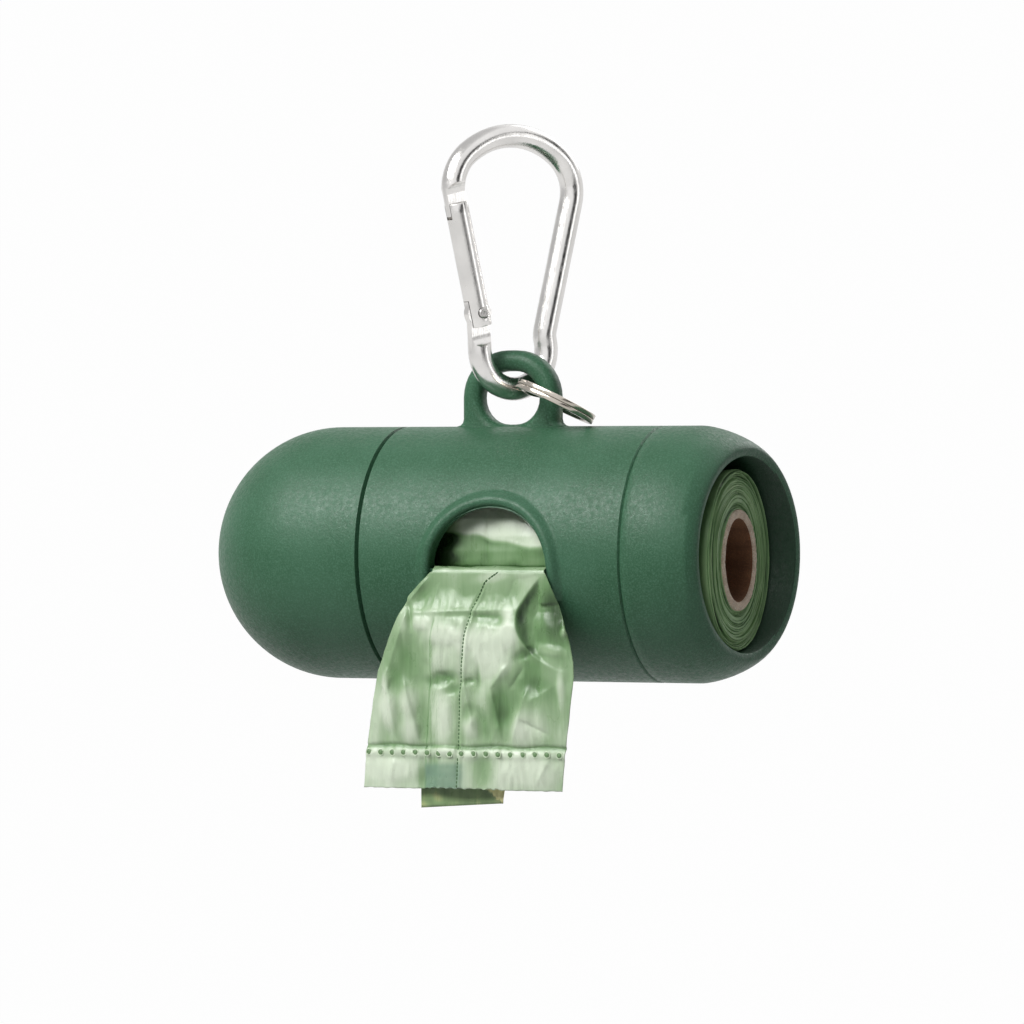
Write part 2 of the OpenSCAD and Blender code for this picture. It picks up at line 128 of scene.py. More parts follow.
def setStops(ramp, stops):
    elements = ramp.color_ramp.elements
    while len(elements) < len(stops):
        elements.new(0.5)
    for element, (at, tone) in zip(elements, stops):
        element.position = at
        element.color = tone


view = {
    "target": (-0.25, 0.0, -60.15),
    "azimuth": 23.2,
    "elevation": 0.53,
    "roll": -0.1,
    "distance": 900.0,
    "lens": 191.5,
    "clip": (0.05, 20),
}


def outward(azimuth, elevation):
    # direction seen from the object, azimuth from its front
    level = cosd(elevation)
    return Vector((sind(azimuth) * level, -cosd(azimuth) * level, sind(elevation)))


def makeCamera():
    data = bpy.data.cameras.new("camera")
    data.lens = view["lens"]
    data.sensor_width = 36
    data.clip_start, data.clip_end = view["clip"]
    cam = newObject("camera", data)
    back = outward(view["azimuth"], view["elevation"])
    cam.location = (Vector(view["target"]) + back * view["distance"]) * mm
    cam.rotation_mode = "QUATERNION"
    turn = Matrix.Rotation(math.radians(view["roll"]), 4, back).to_quaternion()
    cam.rotation_quaternion = turn @ (-back).to_track_quat("-Z", "Y")
    scene.camera = cam


lamps = {
    # name: azimuth, elevation, distance in m, width, height, power in W
    "key": (-30, 42, 0.9, 0.6, 0.5, 7.4),
    "front": (-12, 38, 0.9, 0.7, 0.35, 3.8),
    "side": (94, 14, 0.9, 0.25, 0.5, 0.5),
    "rim": (165, 34, 1.0, 0.6, 0.6, 2.0),
}


def makeLamps():
    aim = Vector((0, 0, axisHeight + 15)) * mm
    for name, (az, el, far, width, height, power) in lamps.items():
        data = bpy.data.lights.new(name, "AREA")
        data.shape = "RECTANGLE"
        data.size, data.size_y = width, height
        data.energy = power
        lamp = newObject(name, data)
        out = outward(az, el)
        lamp.location = aim + out * far
        lamp.rotation_mode = "QUATERNION"
        lamp.rotation_quaternion = (-out).to_track_quat("-Z", "Y")


stage = {
    "floor": -320.0,
    "reach": 2600.0,
    "back": 900.0,  # where the floor starts to bend up into the wall
    "bend": 500.0,
    "wall": 1500.0,
    "paint": 0.48,
    "seen": 0.985,  # how white the camera sees it
    "mirrored": 0.85,  # and how white gloss does
}


def makeFloorPaint():
    mat = bpy.data.materials.new("paleFloor")
    mat.use_nodes = True
    mat.node_tree.nodes.clear()
    out = addNode(mat, "ShaderNodeOutputMaterial")
    mix = addNode(mat, "ShaderNodeMixShader")
    paint = setInputs(addNode(mat, "ShaderNodeBsdfDiffuse"), Color=(stage["paint"],) * 3 + (1,))
    glow = setInputs(addNode(mat, "ShaderNodeEmission"), Color=(1, 1, 1, 1))
    rays = addNode(mat, "ShaderNodeLightPath")
    most = addNode(mat, "ShaderNodeMath", operation="MAXIMUM")
    share = addNode(mat, "ShaderNodeMath", operation="MULTIPLY")
    dim = addNode(mat, "ShaderNodeMath", operation="MULTIPLY")
    share.inputs[1].default_value = stage["seen"]
    dim.inputs[1].default_value = stage["mirrored"]
    join(
        mat,
        (rays.outputs["Is Camera Ray"], most.inputs[0]),
        (rays.outputs["Is Glossy Ray"], dim.inputs[0]),
        (dim.outputs[0], most.inputs[1]),
        (most.outputs[0], share.inputs[0]),
        (share.outputs[0], mix.inputs[0]),
        (paint.outputs[0], mix.inputs[1]),
        (glow.outputs[0], mix.inputs[2]),
        (mix.outputs[0], out.inputs["Surface"]),
    )
    return mat


def smoothFaces(mesh):
    for p in mesh.polygons:
        p.use_smooth = True


def makeStage():
    mesh = bpy.data.meshes.new("floor")
    wide, back, bend = stage["reach"], stage["back"], stage["bend"]
    side = [(-wide, stage["floor"])]
    for i in range(13):
        a = math.radians(90 * i / 12)
        side.append((back + bend * math.sin(a), stage["floor"] + bend * (1 - math.cos(a))))
    side.append((back + bend, stage["floor"] + stage["wall"]))
    verts = [(x * mm, y * mm, z * mm) for y, z in side for x in (-wide, wide)]
    faces = [(2 * i, 2 * i + 1, 2 * i + 3, 2 * i + 2) for i in range(len(side) - 1)]
    mesh.from_pydata(verts, [], faces)
    smoothFaces(mesh)
    mesh.materials.append(makeFloorPaint())
    newObject("floor", mesh)


surround = {
    "tint": (0.9, 0.92, 0.94, 1),
    "ambient": 0.08,
    # what polished metal mirrors: white above and to the left, then a dark band, then grey
    "bands": [
        (0.0, 0.55), (0.2, 0.64), (0.3, 1.0), (0.575, 1.0), (0.61, 0.12),
        (0.65, 0.02), (0.75, 0.03), (0.79, 0.66), (1.0, 0.75),
    ],
}


def makeSurround():
    world = bpy.data.worlds.new("studio")
    world.use_nodes = True
    sky = world.node_tree.nodes["Background"]
    setInputs(sky, Color=surround["tint"], Strength=surround["ambient"])
    coords = addNode(world, "ShaderNodeTexCoord")
    across = addNode(world, "ShaderNodeVectorMath", operation="DOT_PRODUCT")
    az = view["azimuth"]
    across.inputs[1].default_value = Vector((cosd(az), sind(az), -1)).normalized()
    half = addNode(world, "ShaderNodeMath", operation="MULTIPLY_ADD")
    half.inputs[1].default_value = 0.5
    half.inputs[2].default_value = 0.5
    ramp = addNode(world, "ShaderNodeValToRGB")
    setStops(ramp, [(at, (level, level, level * 1.01, 1)) for at, level in surround["bands"]])
    mirrored = addNode(world, "ShaderNodeBackground")
    rays = addNode(world, "ShaderNodeLightPath")
    pick = addNode(world, "ShaderNodeMixShader")
    join(
        world,
        (coords.outputs["Generated"], across.inputs[0]),
        (across.outputs["Value"], half.inputs[0]),
        (half.outputs[0], ramp.inputs["Fac"]),
        (ramp.outputs["Color"], mirrored.inputs["Color"]),
        (rays.outputs["Is Glossy Ray"], pick.inputs[0]),
        (sky.outputs[0], pick.inputs[1]),
        (mirrored.outputs[0], pick.inputs[2]),
        (pick.outputs[0], world.node_tree.nodes["World Output"].inputs["Surface"]),
    )
    scene.world = world


makeCamera()
makeLamps()
makeStage()
makeSurround()
print("camera, lamps and stage made")


def newFinish(name, colour, roughness, metallic=0.0, **extra):
    # a Principled material; extra sets further sockets by name, constants only
    mat = bpy.data.materials.new(name)
    mat.use_nodes = True
    shader = mat.node_tree.nodes["Principled BSDF"]
    setInputs(shader, Base_Color=colour, Roughness=roughness, Metallic=metallic, **extra)
    return mat


def objectCoordinates(mat, stretch=(1, 1, 1)):
    coords = addNode(mat, "ShaderNodeTexCoord")
    mapping = setInputs(addNode(mat, "ShaderNodeMapping"), Scale=stretch)
    join(mat, (coords.outputs["Object"], mapping.inputs["Vector"]))
    return mapping.outputs["Vector"]


def noiseFactor(mat, coords, scale, detail=2.0, roughness=0.5, distortion=0.0):
    tex = addNode(mat, "ShaderNodeTexNoise")
    setInputs(tex, Scale=scale, Detail=detail, Roughness=roughness, Distortion=distortion)
    join(mat, (coords, tex.inputs["Vector"]))
    return tex.outputs["Fac"]


def addBump(mat, height, distance, strength=1.0):
    # bumps stack: each new one takes the last one's normal
    normal = mat.node_tree.nodes["Principled BSDF"].inputs["Normal"]
    relief = setInputs(addNode(mat, "ShaderNodeBump"), Strength=strength, Distance=distance)
    if normal.is_linked:
        join(mat, (normal.links[0].from_socket, relief.inputs["Normal"]))
    join(mat, (height, relief.inputs["Height"]), (relief.outputs["Normal"], normal))


def spread(mat, factor, low, high, at=(0.3, 0.7)):
    # maps a factor to a number between low and high
    ramp = addNode(mat, "ShaderNodeMapRange")
    setInputs(ramp, From_Min=at[0], From_Max=at[1], To_Min=low, To_Max=high)
    join(mat, (factor, ramp.inputs["Value"]))
    return ramp.outputs["Result"]


def plus(mat, a, b):
    total = addNode(mat, "ShaderNodeMath", operation="ADD")
    join(mat, (a, total.inputs[0]), (b, total.inputs[1]))
    return total.outputs[0]


def mixColours(mat, factor, first, second):
    mix = addNode(mat, "ShaderNodeMix", data_type="RGBA")
    for value, socket in ((factor, mix.inputs[0]), (first, mix.inputs[6]), (second, mix.inputs[7])):
        if isinstance(value, bpy.types.NodeSocket):
            join(mat, (value, socket))
        else:
            socket.default_value = value
    return mix.outputs[2]


def scaled(colour, factor):
    return tuple(min(1, c * factor) for c in colour[:3]) + (1,)


def attribute(mat, name):
    return addNode(mat, "ShaderNodeAttribute", attribute_name=name).outputs["Fac"]


def feed(mat, value, socket):
    join(mat, (value, mat.node_tree.nodes["Principled BSDF"].inputs[socket]))


plastic = {
    "colour": srgb(40, 80, 54),
    "dusty": srgb(76, 116, 92),
    "roughness": 0.43,
    "grainSize": 0.0003,  # of the spark-eroded mould
    "grainDepth": 0.000045,
    "inside": srgb(22, 50, 32),  # the mould's core side is smooth; it is darker as painted shade inside the open end
    "shadedInsideDusty": srgb(34, 66, 45),
}


def makePlastic(name, colour, dusty):
    rough, grain = plastic["roughness"], plastic["grainSize"]
    mat = newFinish(name, colour, rough, Specular_IOR_Level=0.26)
    space = objectCoordinates(mat)
    broad = noiseFactor(mat, space, 55, 3)
    fine = noiseFactor(mat, space, 1 / grain, 3, 0.7)
    speck = noiseFactor(mat, space, 0.45 / grain, 1)
    tint = mixColours(mat, spread(mat, broad, 0, 0.5), colour, dusty)
    tint = mixColours(mat, spread(mat, fine, 0, 0.7, (0.45, 0.68)), tint, dusty)
    feed(mat, tint, "Base Color")
    feed(mat, spread(mat, speck, rough - 0.1, rough + 0.1), "Roughness")
    addBump(mat, fine, plastic["grainDepth"])
    addBump(mat, speck, plastic["grainDepth"] * 1.2, 0.6)
    return mat


metals = {
    # colour, roughness
    "rod": (srgb(236, 234, 231), 0.19),
    "steel": (srgb(190, 188, 185), 0.3),
    "ring": (srgb(196, 189, 178), 0.16),
}


def makeRodMetal():
    # drawn aluminium: fine lines along the rod
    colour, rough = metals["rod"]
    mat = newFinish("drawnAluminium", colour, rough, 1.0)
    space = objectCoordinates(mat)
    lines = noiseFactor(mat, objectCoordinates(mat, (1, 1, 0.05)), 4200, 3, 0.6)
    mottle = noiseFactor(mat, space, 900, 3, 0.6)
    worn = noiseFactor(mat, space, 160, 2)
    feed(mat, spread(mat, mottle, rough - 0.05, rough + 0.09), "Roughness")
    feed(mat, mixColours(mat, spread(mat, worn, 0, 0.7), colour, scaled(colour, 0.78)), "Base Color")
    addBump(mat, lines, 0.000012)
    addBump(mat, mottle, 0.000004, 0.8)
    return mat


def makePlainMetal(name, key, grain, depth):
    colour, rough = metals[key]
    mat = newFinish(name, colour, rough, 1.0)
    mottle = noiseFactor(mat, objectCoordinates(mat), grain, 2, 0.6)
    feed(mat, spread(mat, mottle, rough - 0.03, rough + 0.08), "Roughness")
    addBump(mat, mottle, depth)
    return mat


board = {
    "face": srgb(252, 230, 206),
    "inside": srgb(150, 106, 76),
    "fleck": srgb(112, 86, 62),
    "gloom": srgb(40, 26, 16),
}


def makeBoard(name, colour, gloom):
    # grey-brown board with flecks and short fibres
    mat = newFinish(name, colour, 0.9)
    fibres = noiseFactor(mat, objectCoordinates(mat, (1, 3, 3)), 1600, 4, 0.7)
    flecks = noiseFactor(mat, objectCoordinates(mat), 3800, 2, 0.6)
    tint = mixColours(mat, spread(mat, fibres, 0, 0.5), colour, board["fleck"])
    pale = spread(mat, flecks, 0, 0.6, (0.5, 0.7))
    tint = mixColours(mat, pale, tint, scaled(colour, 1.5))
    feed(mat, mixColours(mat, attribute(mat, "shade"), tint, gloom), "Base Color")
    addBump(mat, fibres, 0.00006)
    addBump(mat, flecks, 0.00003, 0.8)
    return mat


film = {
    "ink": srgb(112, 142, 120),
    "crinkle": 0.0016,
    "stops": (0.05, 0.42, 0.72, 1.0),  # of "shade" at each tone
    # roughness, then light, plain, deep and dark tones, which "shade" picks between as painted highlight
    # and painted shade
    "bagFilm": (0.3, (208, 220, 198), (146, 172, 134), (104, 138, 92), (22, 46, 16)),
    "tailFilm": (0.3, (244, 240, 186), (228, 226, 160), (134, 160, 112), (80, 104, 66)),
    "rollFilm": (0.5, (180, 208, 158), (138, 174, 120), (84, 122, 72), (14, 26, 10)),
}


def makeFilm(name):
    # thin satin film: faint streaks down its length, soft crinkles, the map "shade" that paints its light
    # and shade over hollows, bulges and folds, a little darker where the tail shows through, and "cool"
    # where ink shows through
    rough, *tones = film[name]
    tones = [srgb(*tone) for tone in tones]
    mat = newFinish(name, tones[1], rough, Specular_IOR_Level=0.42)
    streaks = noiseFactor(mat, objectCoordinates(mat, (1, 0.3, 0.06)), 2400, 3, 0.6)
    draped = objectCoordinates(mat, (1, 1, 0.5))
    crinkle = noiseFactor(mat, draped, 1 / film["crinkle"], 3, 0.5, 0.8)
    soft = noiseFactor(mat, draped, 240, 3, 0.5, 0.4)
    depth = plus(mat, attribute(mat, "shade"), spread(mat, streaks, -0.03, 0.03))
    depth = plus(mat, depth, spread(mat, soft, -0.07, 0.08))
    ramp = addNode(mat, "ShaderNodeValToRGB")
    setStops(ramp, list(zip(film["stops"], tones)))
    join(mat, (depth, ramp.inputs["Fac"]))
    inked = mixColours(mat, attribute(mat, "cool"), ramp.outputs["Color"], film["ink"])
    feed(mat, inked, "Base Color")
    feed(mat, spread(mat, crinkle, rough - 0.06, rough + 0.1), "Roughness")
    addBump(mat, crinkle, 0.00012, 0.5)
    addBump(mat, streaks, 0.00001, 0.3)
    return mat


def makeGrained(name, colour, roughness, grain, depth):
    # one colour under a fine grain
    mat = newFinish(name, colour, roughness)
    addBump(mat, noiseFactor(mat, objectCoordinates(mat), grain, 2), depth)
    return mat


greenPlastic = makePlastic("greenPlastic", plastic["colour"], plastic["dusty"])
# a darker copy of the green plastic: painted shade inside the open end
shadedInnerPlastic = makePlastic("shadedInnerPlastic", plastic["inside"], plastic["shadedInsideDusty"])
drawnAluminium = makeRodMetal()
rivetSteel = makePlainMetal("rivetSteel", "steel", 2500, 0.000006)
ringNickel = makePlainMetal("ringNickel", "ring", 1800, 0.000004)
boardFace = makeBoard("boardFace", board["face"], board["fleck"])
boardInside = makeBoard("boardInside", board["inside"], board["gloom"])
bagFilm, tailFilm, rollFilm = (makeFilm(name) for name in ("bagFilm", "tailFilm", "rollFilm"))
sealRubber = makeGrained("sealRubber", srgb(24, 24, 25), 0.6, 3000, 0.00001)
punchedFilm = makeGrained("punchedFilm", srgb(104, 136, 92), 0.5, 4000, 0.00003)
rimFilm = makeGrained("rimFilm", srgb(206, 222, 194), 0.3, 4000, 0.00003)
# the dashes down the crease are dark green as painted shade
dashShade = makeGrained("dashShadow", srgb(66, 98, 58), 0.5, 5000, 0.00003)
print("finishes made")


def finishMesh(obj, angle=35, merge=0.001, mend=True):
    # merges doubles, mends faces and points them outwards, keeps edges sharper than the angle
    data = obj.data
    bm = bmesh.new()
    bm.from_mesh(data)
    bmesh.ops.remove_doubles(bm, verts=bm.verts, dist=merge * mm)
    if mend:
        bmesh.ops.dissolve_degenerate(bm, edges=bm.edges, dist=merge * 0.2 * mm)
        bmesh.ops.recalc_face_normals(bm, faces=bm.faces)
    bm.to_mesh(data)
    bm.free()
    smoothFaces(data)
    data.set_sharp_from_angle(angle=math.radians(angle))
    data.update()
    return obj


def addMesh(name, verts, faces, finish, **maps):
    # verts in millimetres; maps are numbers for each point, read by the finish
    data = bpy.data.meshes.new(name)
    data.from_pydata([Vector(v) * mm for v in verts], [], faces)
    for key, numbers in maps.items():
        layer = data.attributes.new(key, "FLOAT", "POINT")
        layer.data.foreach_set("value", numbers)
    for f in finish if isinstance(finish, (list, tuple)) else [finish]:
        data.materials.append(f)
    return newObject(name, data)


def skin(rows, closed=True):
    # quads between rows of equally many points; closed joins each row's ends
    n = len(rows[0])
    faces = []
    for i in range(len(rows) - 1):
        for k in range(n if closed else n - 1):
            a, b = i * n + k, i * n + (k + 1) % n
            faces.append((a, b, b + n, a + n))
    return faces


def allPoints(rows):
    return [p for row in rows for p in row]


def capped(rows):
    # verts and faces of a tube whose first and last rows are filled
    n, total = len(rows[0]), len(rows) * len(rows[0])
    ends = [tuple(range(n)), tuple(range(total - n, total))]
    return allPoints(rows), skin(rows) + ends


def looped(rows):
    # verts and faces of a tube whose last row joins its first
    total = len(rows) * len(rows[0])
    return allPoints(rows), [tuple(i % total for i in f) for f in skin(rows + [rows[0]])]


def dressed(node, name, finish):
    # a merged, smoothly shaded copy of a CAD node in a better finish
    source = nodes[node].data
    verts = [v.co / mm for v in source.vertices]
    obj = addMesh(name, verts, [tuple(p.vertices) for p in source.polygons], finish)
    return finishMesh(obj, 35, 0.0005, mend=False)


def place(obj, body, slot, *replaced):
    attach(obj, body)
    if replaced:
        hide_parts(*replaced)
    return obj


def baked(obj, step):
    # a plain mesh of the object with the modifier applied and removed
    bpy.context.view_layer.update()
    evaluated = obj.evaluated_get(bpy.context.evaluated_depsgraph_get())
    done = bpy.data.meshes.new_from_object(evaluated)
    obj.modifiers.remove(step)
    old, obj.data = obj.data, done
    bpy.data.meshes.remove(old)


def cutWith(obj, cutter):
    step = obj.modifiers.new("cut", "BOOLEAN")
    step.operation = "DIFFERENCE"
    step.solver = "EXACT"
    step.object = cutter
    baked(obj, step)
    bpy.data.objects.remove(cutter)


dressedPieces = {
    "carabiner_frame": ("carabinerRod", drawnAluminium, "hook", "rod"),
    "gate_spring": ("gateSpring", rivetSteel, "gate", "steel"),
    "centre_body": ("centreShell", greenPlastic, "capsule", "shell"),
    "right_cap": ("openEndCap", greenPlastic, "capsule", "shell"),
    "left_cap": ("domedCap", greenPlastic, "screw_cap", "shell"),
    "cap_seal": ("capSeal", sealRubber, "seal", "seal"),
}
shells = {}
for node, (name, finish, body, slot) in dressedPieces.items():
    shells[node] = place(dressed(node, name, finish), body, slot, node)


def fromAxis(co):
    # x, distance from the capsule's axis, and the direction away from it
    x, y, z = co / mm
    r = math.hypot(y, z - axisHeight)
    return x, r, (y / r, (z - axisHeight) / r) if r else (0, 0)


slotRim = {"middle": 4.4, "half": 13.4, "front": -12, "over": 21.02, "sunk": 20.94}
seams = {"left": -18.85, "depth": 0.55, "open": 0.05, "floor": 20.3, "top": 20.9}


def shrink(v, share):
    # moves a vertex towards the capsule's axis
    v.co.y *= share
    v.co.z = (axisHeight + (v.co.z / mm - axisHeight) * share) * mm


# the slot's plain rim sinks just under the shell, where the bead covers it
for v in shells["centre_body"].data.vertices:
    x, r, _ = fromAxis(v.co)
    near = v.co.y / mm < slotRim["front"] and abs(x - slotRim["middle"]) < slotRim["half"]
    if near and r > slotRim["over"]:
        shrink(v, slotRim["sunk"] / r)

for node, side in (("left_cap", -1), ("centre_body", 1)):
    # both edges of the left seam fall away into a deeper V
    for v in shells[node].data.vertices:
        x, r, _ = fromAxis(v.co)
        far = side * (x - seams["left"])
        if r > seams["floor"] and -0.01 < far < 0.05:
            shrink(v, 1 - seams["depth"] / r)
        elif r > seams["top"] and 0.05 < far < 0.6:
            v.co.x += side * seams["open"] * mm

endCap = {
    "cuts": range(29, 35),  # x of rings added where the shading turns
    "turns": (28.5, 37.5),
    "start": 29,
    "end": 37.5,
    "lean": 20.9,  # degrees reached at the end
    "power": 1.5,
    "inner": -0.62,  # how squarely a wall faces the axis to take the darker inner finish of painted shade
}


def finishEndCap(mesh):
    # its shading turns into its rounding softly, and its inside walls take the darker finish of painted
    # shade
    bm = bmesh.new()
    bm.from_mesh(mesh)
    for x in endCap["cuts"]:
        parts = bm.verts[:] + bm.edges[:] + bm.faces[:]
        bmesh.ops.bisect_plane(bm, geom=parts, plane_co=(x * mm, 0, 0), plane_no=(1, 0, 0), dist=1e-7)
    bm.to_mesh(mesh)
    bm.free()
    mesh.materials.append(shadedInnerPlastic)
    for p in mesh.polygons:
        _, _, (y, z) = fromAxis(p.center)
        if p.normal.dot(Vector((0, y, z))) < endCap["inner"]:
            p.material_index = 1
    mesh.set_sharp_from_angle(angle=math.radians(35))
    low, high = endCap["turns"]
    normals = []
    for v in mesh.vertices:
        x, r, (y, z) = fromAxis(v.co)
        if low < x < high and r > 19:
            share = max(0.0, (x - endCap["start"]) / (endCap["end"] - endCap["start"]))
            lean = endCap["lean"] * share ** endCap["power"]
            normals.append((sind(lean), cosd(lean) * y, cosd(lean) * z))
        else:
            normals.append((0, 0, 0))
    mesh.normals_split_custom_set_from_vertices(normals)


finishEndCap(shells["right_cap"].data)
print("carried-over pieces dressed")

bead = {
    "middle": 4.4,
    "drop": 2.2,
    "inner": 10.26,
    "legs": 4.9,
    "height": 0.86,
    "inside": 0.9,  # width of its inner round
    "outside": 1.75,  # width of its outer slope
}


def onShell(x, z, proud):
    # point over the shell's front, z from the capsule's axis
    a = math.asin(max(-1.0, min(1.0, z / shellRadius)))
    r = shellRadius + proud
    return x, -r * math.cos(a), axisHeight + r * math.sin(a)


def makeSlotBead():
    h, inside, outside = bead["height"], bead["inside"], bead["outside"]
    # (distance out from the slot's edge, height over the shell)
    section = [(0, -0.8)]
    section += [(inside * (1 - cosd(a)), 0.06 + (h - 0.06) * sind(a)) for a in range(0, 91, 15)]
    section += [(inside + outside * q / 9, h * cosd(10 * q) ** 2) for q in range(1, 10)]
    section += [(inside + outside, -0.2), (inside + outside - 0.5, -0.8)]
    # (angle round the arch, how far below it): up one leg, over and down the other
    stations = [(180, -bead["legs"] + i) for i in range(5)]
    stations += [(180 - 4 * i, 0) for i in range(46)]
    stations += [(0, -1 - i) for i in range(4)] + [(0, -bead["legs"])]
    rows = []
    for angle, low in stations:
        row = []
        for out, proud in section:
            r = bead["inner"] + out
            x = bead["middle"] + r * cosd(angle)
            row.append(onShell(x, -bead["drop"] + low + r * sind(angle), proud))
        rows.append(row)
    return finishMesh(addMesh("slotBead", *capped(rows), greenPlastic), 50)


place(makeSlotBead(), "capsule", "shell", "centre_body")
print("slot bead made")


roll = {
    "left": -16.25,
    "right": 39.75,
    "outer": 14.78,
    "inner": 8.3,
    "sag": 0.9,
    "around": 240,
    "steps": 44,  # along its side
    "layers": 19,
    "farLayers": 7,
    "ragged": 0.55,  # how far layers fall short of the end
    "gap": 0.4,  # depth of the gaps between them
    "slant": 0.28,
    "dip": 0.35,
}


def wobble(a, k, scale=1.0):
    # smooth noise round the axis, different for each k
    return noiseAt(cosd(a) * scale, sind(a) * scale, k)


def aroundRoll(x, r, a):
    return x, -r * sind(a), axisHeight - roll["sag"] + r * cosd(a)


def endSlant(a, r):
    # the end of the roll leans out a little on its near side
    return roll["slant"] * (1 + sind(a) * r / roll["outer"])


def nearDip(a, x):
    # the outermost turns are drawn in there, which leaves a gap to the mouth
    return roll["dip"] * max(0.0, sind(a)) ** 2 * ease(33, 39, x)


def rollEnd(layers, ragged):
    # (radius, distance in from the end, layer, how much painted shade its gap gets) from the outside
    # inwards
    span = roll["outer"] - roll["inner"]
    shares = [0.45 + 1.1 * abs(noiseAt(3.1 * j, 0.7, 2.3)) for j in range(layers)]
    total = sum(shares)
    rows, r = [], roll["outer"]
    for j, share in enumerate(shares):
        thick = span * share / total
        short = ragged * (0.5 + noiseAt(5.7 * j, 1.9, 0.4))
        rows.append((r, short + roll["gap"], j, 1.0))
        rows.append((r - 0.05, short + 0.06, j, 0.25))
        rows.append((r - thick * 0.5, short, j, 0.0))
        rows.append((r - thick + 0.05, short + 0.07, j, 0.3))
        r -= thick
    rows.append((r, roll["gap"] + ragged, layers, 1.0))
    rows[0] = (roll["outer"], 0.5, 0, 0.1)
    return rows


def endRing(x, r, j, gap, side):
    # one ring of an end face and its tones: layers differ at random, and the gaps between them are
    # painted darker as shade
    depth = (roll["outer"] - r) / (roll["outer"] - roll["inner"])
    row, tones = [], []
    for a in around(roll["around"]):
        # the roll is a little out of round, and its turns crowd together in places
        crowd = 0.42 * math.sin(math.pi * min(1, depth)) * wobble(a, 0.4 * r, 1.4)
        rr = r - 0.1 * depth + crowd
        lean = 0.3 * wobble(a, 0.9 * j + 0.3, 0.9)
        xx = x + side * lean - side * 0.06 * abs(wobble(a, 2.1 * j, 6))
        if side > 0:
            xx += endSlant(a, r)
            rr -= nearDip(a, x) * (1 - depth)
        row.append(aroundRoll(xx, rr, a))
        fade = ease(-0.25, 0.25, wobble(a, 7.7 * j + 1.2, 1.6))
        tone = 0.42 + 0.3 * wobble(a, 3.3 * j, 1.1) + 0.08 * wobble(a, 1.7 * j, 5)
        tones.append(clamp(tone + gap * (0.12 + 0.55 * fade)))
    return row, tones


def sideRing(x):
    row, tones = [], []
    for a in around(roll["around"]):
        crush = noiseAt(x * 0.13, cosd(a) * 2.2, sind(a) * 2.2)
        crease = abs(noiseAt(x * 0.5, cosd(a) * 1.5, sind(a) * 1.5 + 4))
        r = roll["outer"] - 0.12 + 0.1 * crush - 0.16 * hump(crease / 0.05) - nearDip(a, x)
        row.append(aroundRoll(x, r, a))
        # darker towards the mouth, as painted shadow over the drawn-in end
        tones.append(0.5 + 0.25 * crush + 0.4 * ease(33, 37, x))
    return row, tones


def makeRoll():
    left, right, steps = roll["left"], roll["right"], roll["steps"]
    rings = []
    for r, short, j, gap in reversed(rollEnd(roll["farLayers"], 0.3)):
        rings.append(endRing(left + 0.2 + short, r, j, gap, -1))
    for i in range(1, steps):
        rings.append(sideRing(left + 1.2 + (right - left - 2.4) * i / steps))
    for r, short, j, gap in rollEnd(roll["layers"], roll["ragged"]):
        rings.append(endRing(right - 0.15 - short, r, j, gap, 1))
    rows, tones = zip(*rings)
    shade = allPoints(tones)
    return finishMesh(addMesh("bagRoll", *looped(list(rows)), rollFilm, shade=shade), 60)


place(makeRoll(), "roll", "roll", "bag_roll")
print("roll made")


core = {
    "outer": 8.25,
    "inner": 6.8,
    "around": 180,
    "seam": 0.012,  # share of a turn that the spiral seam is wide
    "pitch": 34.0,
    "at": 0.868,
    "depth": 0.16,
    "bore": 61,  # rings down its inside
}


def makeCore():
    n = core["around"]
    left, right = roll["left"], roll["right"]
    outer, inner = core["outer"], core["inner"]
    # (x, radius, kind): kind 0 outside, 1 cut face, 2 inside
    profile = [(left + 0.1, outer - 0.05, 0), (right - 0.12, outer - 0.04, 0)]
    profile += [(right - 0.02, outer - 0.16, 1), (right + 0.02, outer - 0.5, 1), (right, outer - 0.95, 1)]
    profile += [(right - 0.02, inner + 0.2, 1), (right - 0.16, inner + 0.05, 1)]
    first = len(profile)
    profile += [(right - 0.3 - 0.9 * i, inner + 0.02, 2) for i in range(core["bore"])]
    profile += [(left + 0.12, inner + 0.05, 1), (left, inner + 0.3, 1), (left, outer - 0.3, 1)]
    rows, shade = [], []
    for x, r, kind in profile:
        row = []
        for a in around(n):
            rough = noiseAt(r * 2.2, cosd(a) * 16, sind(a) * 16)
            coarse = noiseAt(r * 0.8, cosd(a) * 5, sind(a) * 5)
            xx, rr, tone = x, r, 0.12 + 0.3 * coarse
            if kind == 1:
                xx += 0.1 * rough + 0.06 * coarse
                rr += 0.1 * rough * (1 if r < outer - 0.7 else 0.3)
            if x > 30:
                xx += endSlant(a, r) * ease(30, 39, x)
            if kind == 2:
                phase = (a / 360 - x / core["pitch"]) % 1
                seam = hump((phase - core["at"]) / core["seam"])
                rr += core["depth"] * seam
                tone += 0.75 * seam
            row.append(aroundRoll(xx, rr, a))
            shade.append(clamp(tone))
        rows.append(row)
    obj = addMesh("rollCore", *looped(rows), [boardFace, boardInside], shade=shade)
    for p in obj.data.polygons:
        if first <= p.index // n < first + core["bore"] - 1:
            p.material_index = 1
    return finishMesh(obj, 60)


place(makeCore(), "roll", "core", "roll_core")
print("core made")


ringForm = {
    "centre": (8.75, -2.8, -41.95),
    "turns": (-2.5, 26.5, 23.2),
    "middle": 6.4,
    "coil": 0.77,  # along the ring's axis
    "thick": 1.2,
    "rounding": 0.14,
    "step": 0.4,  # of each coil from the middle plane
    "start": 118.0,
    "jog": 44.0,  # how far round the wire crosses from one coil to the other
    "steps": 168,
}


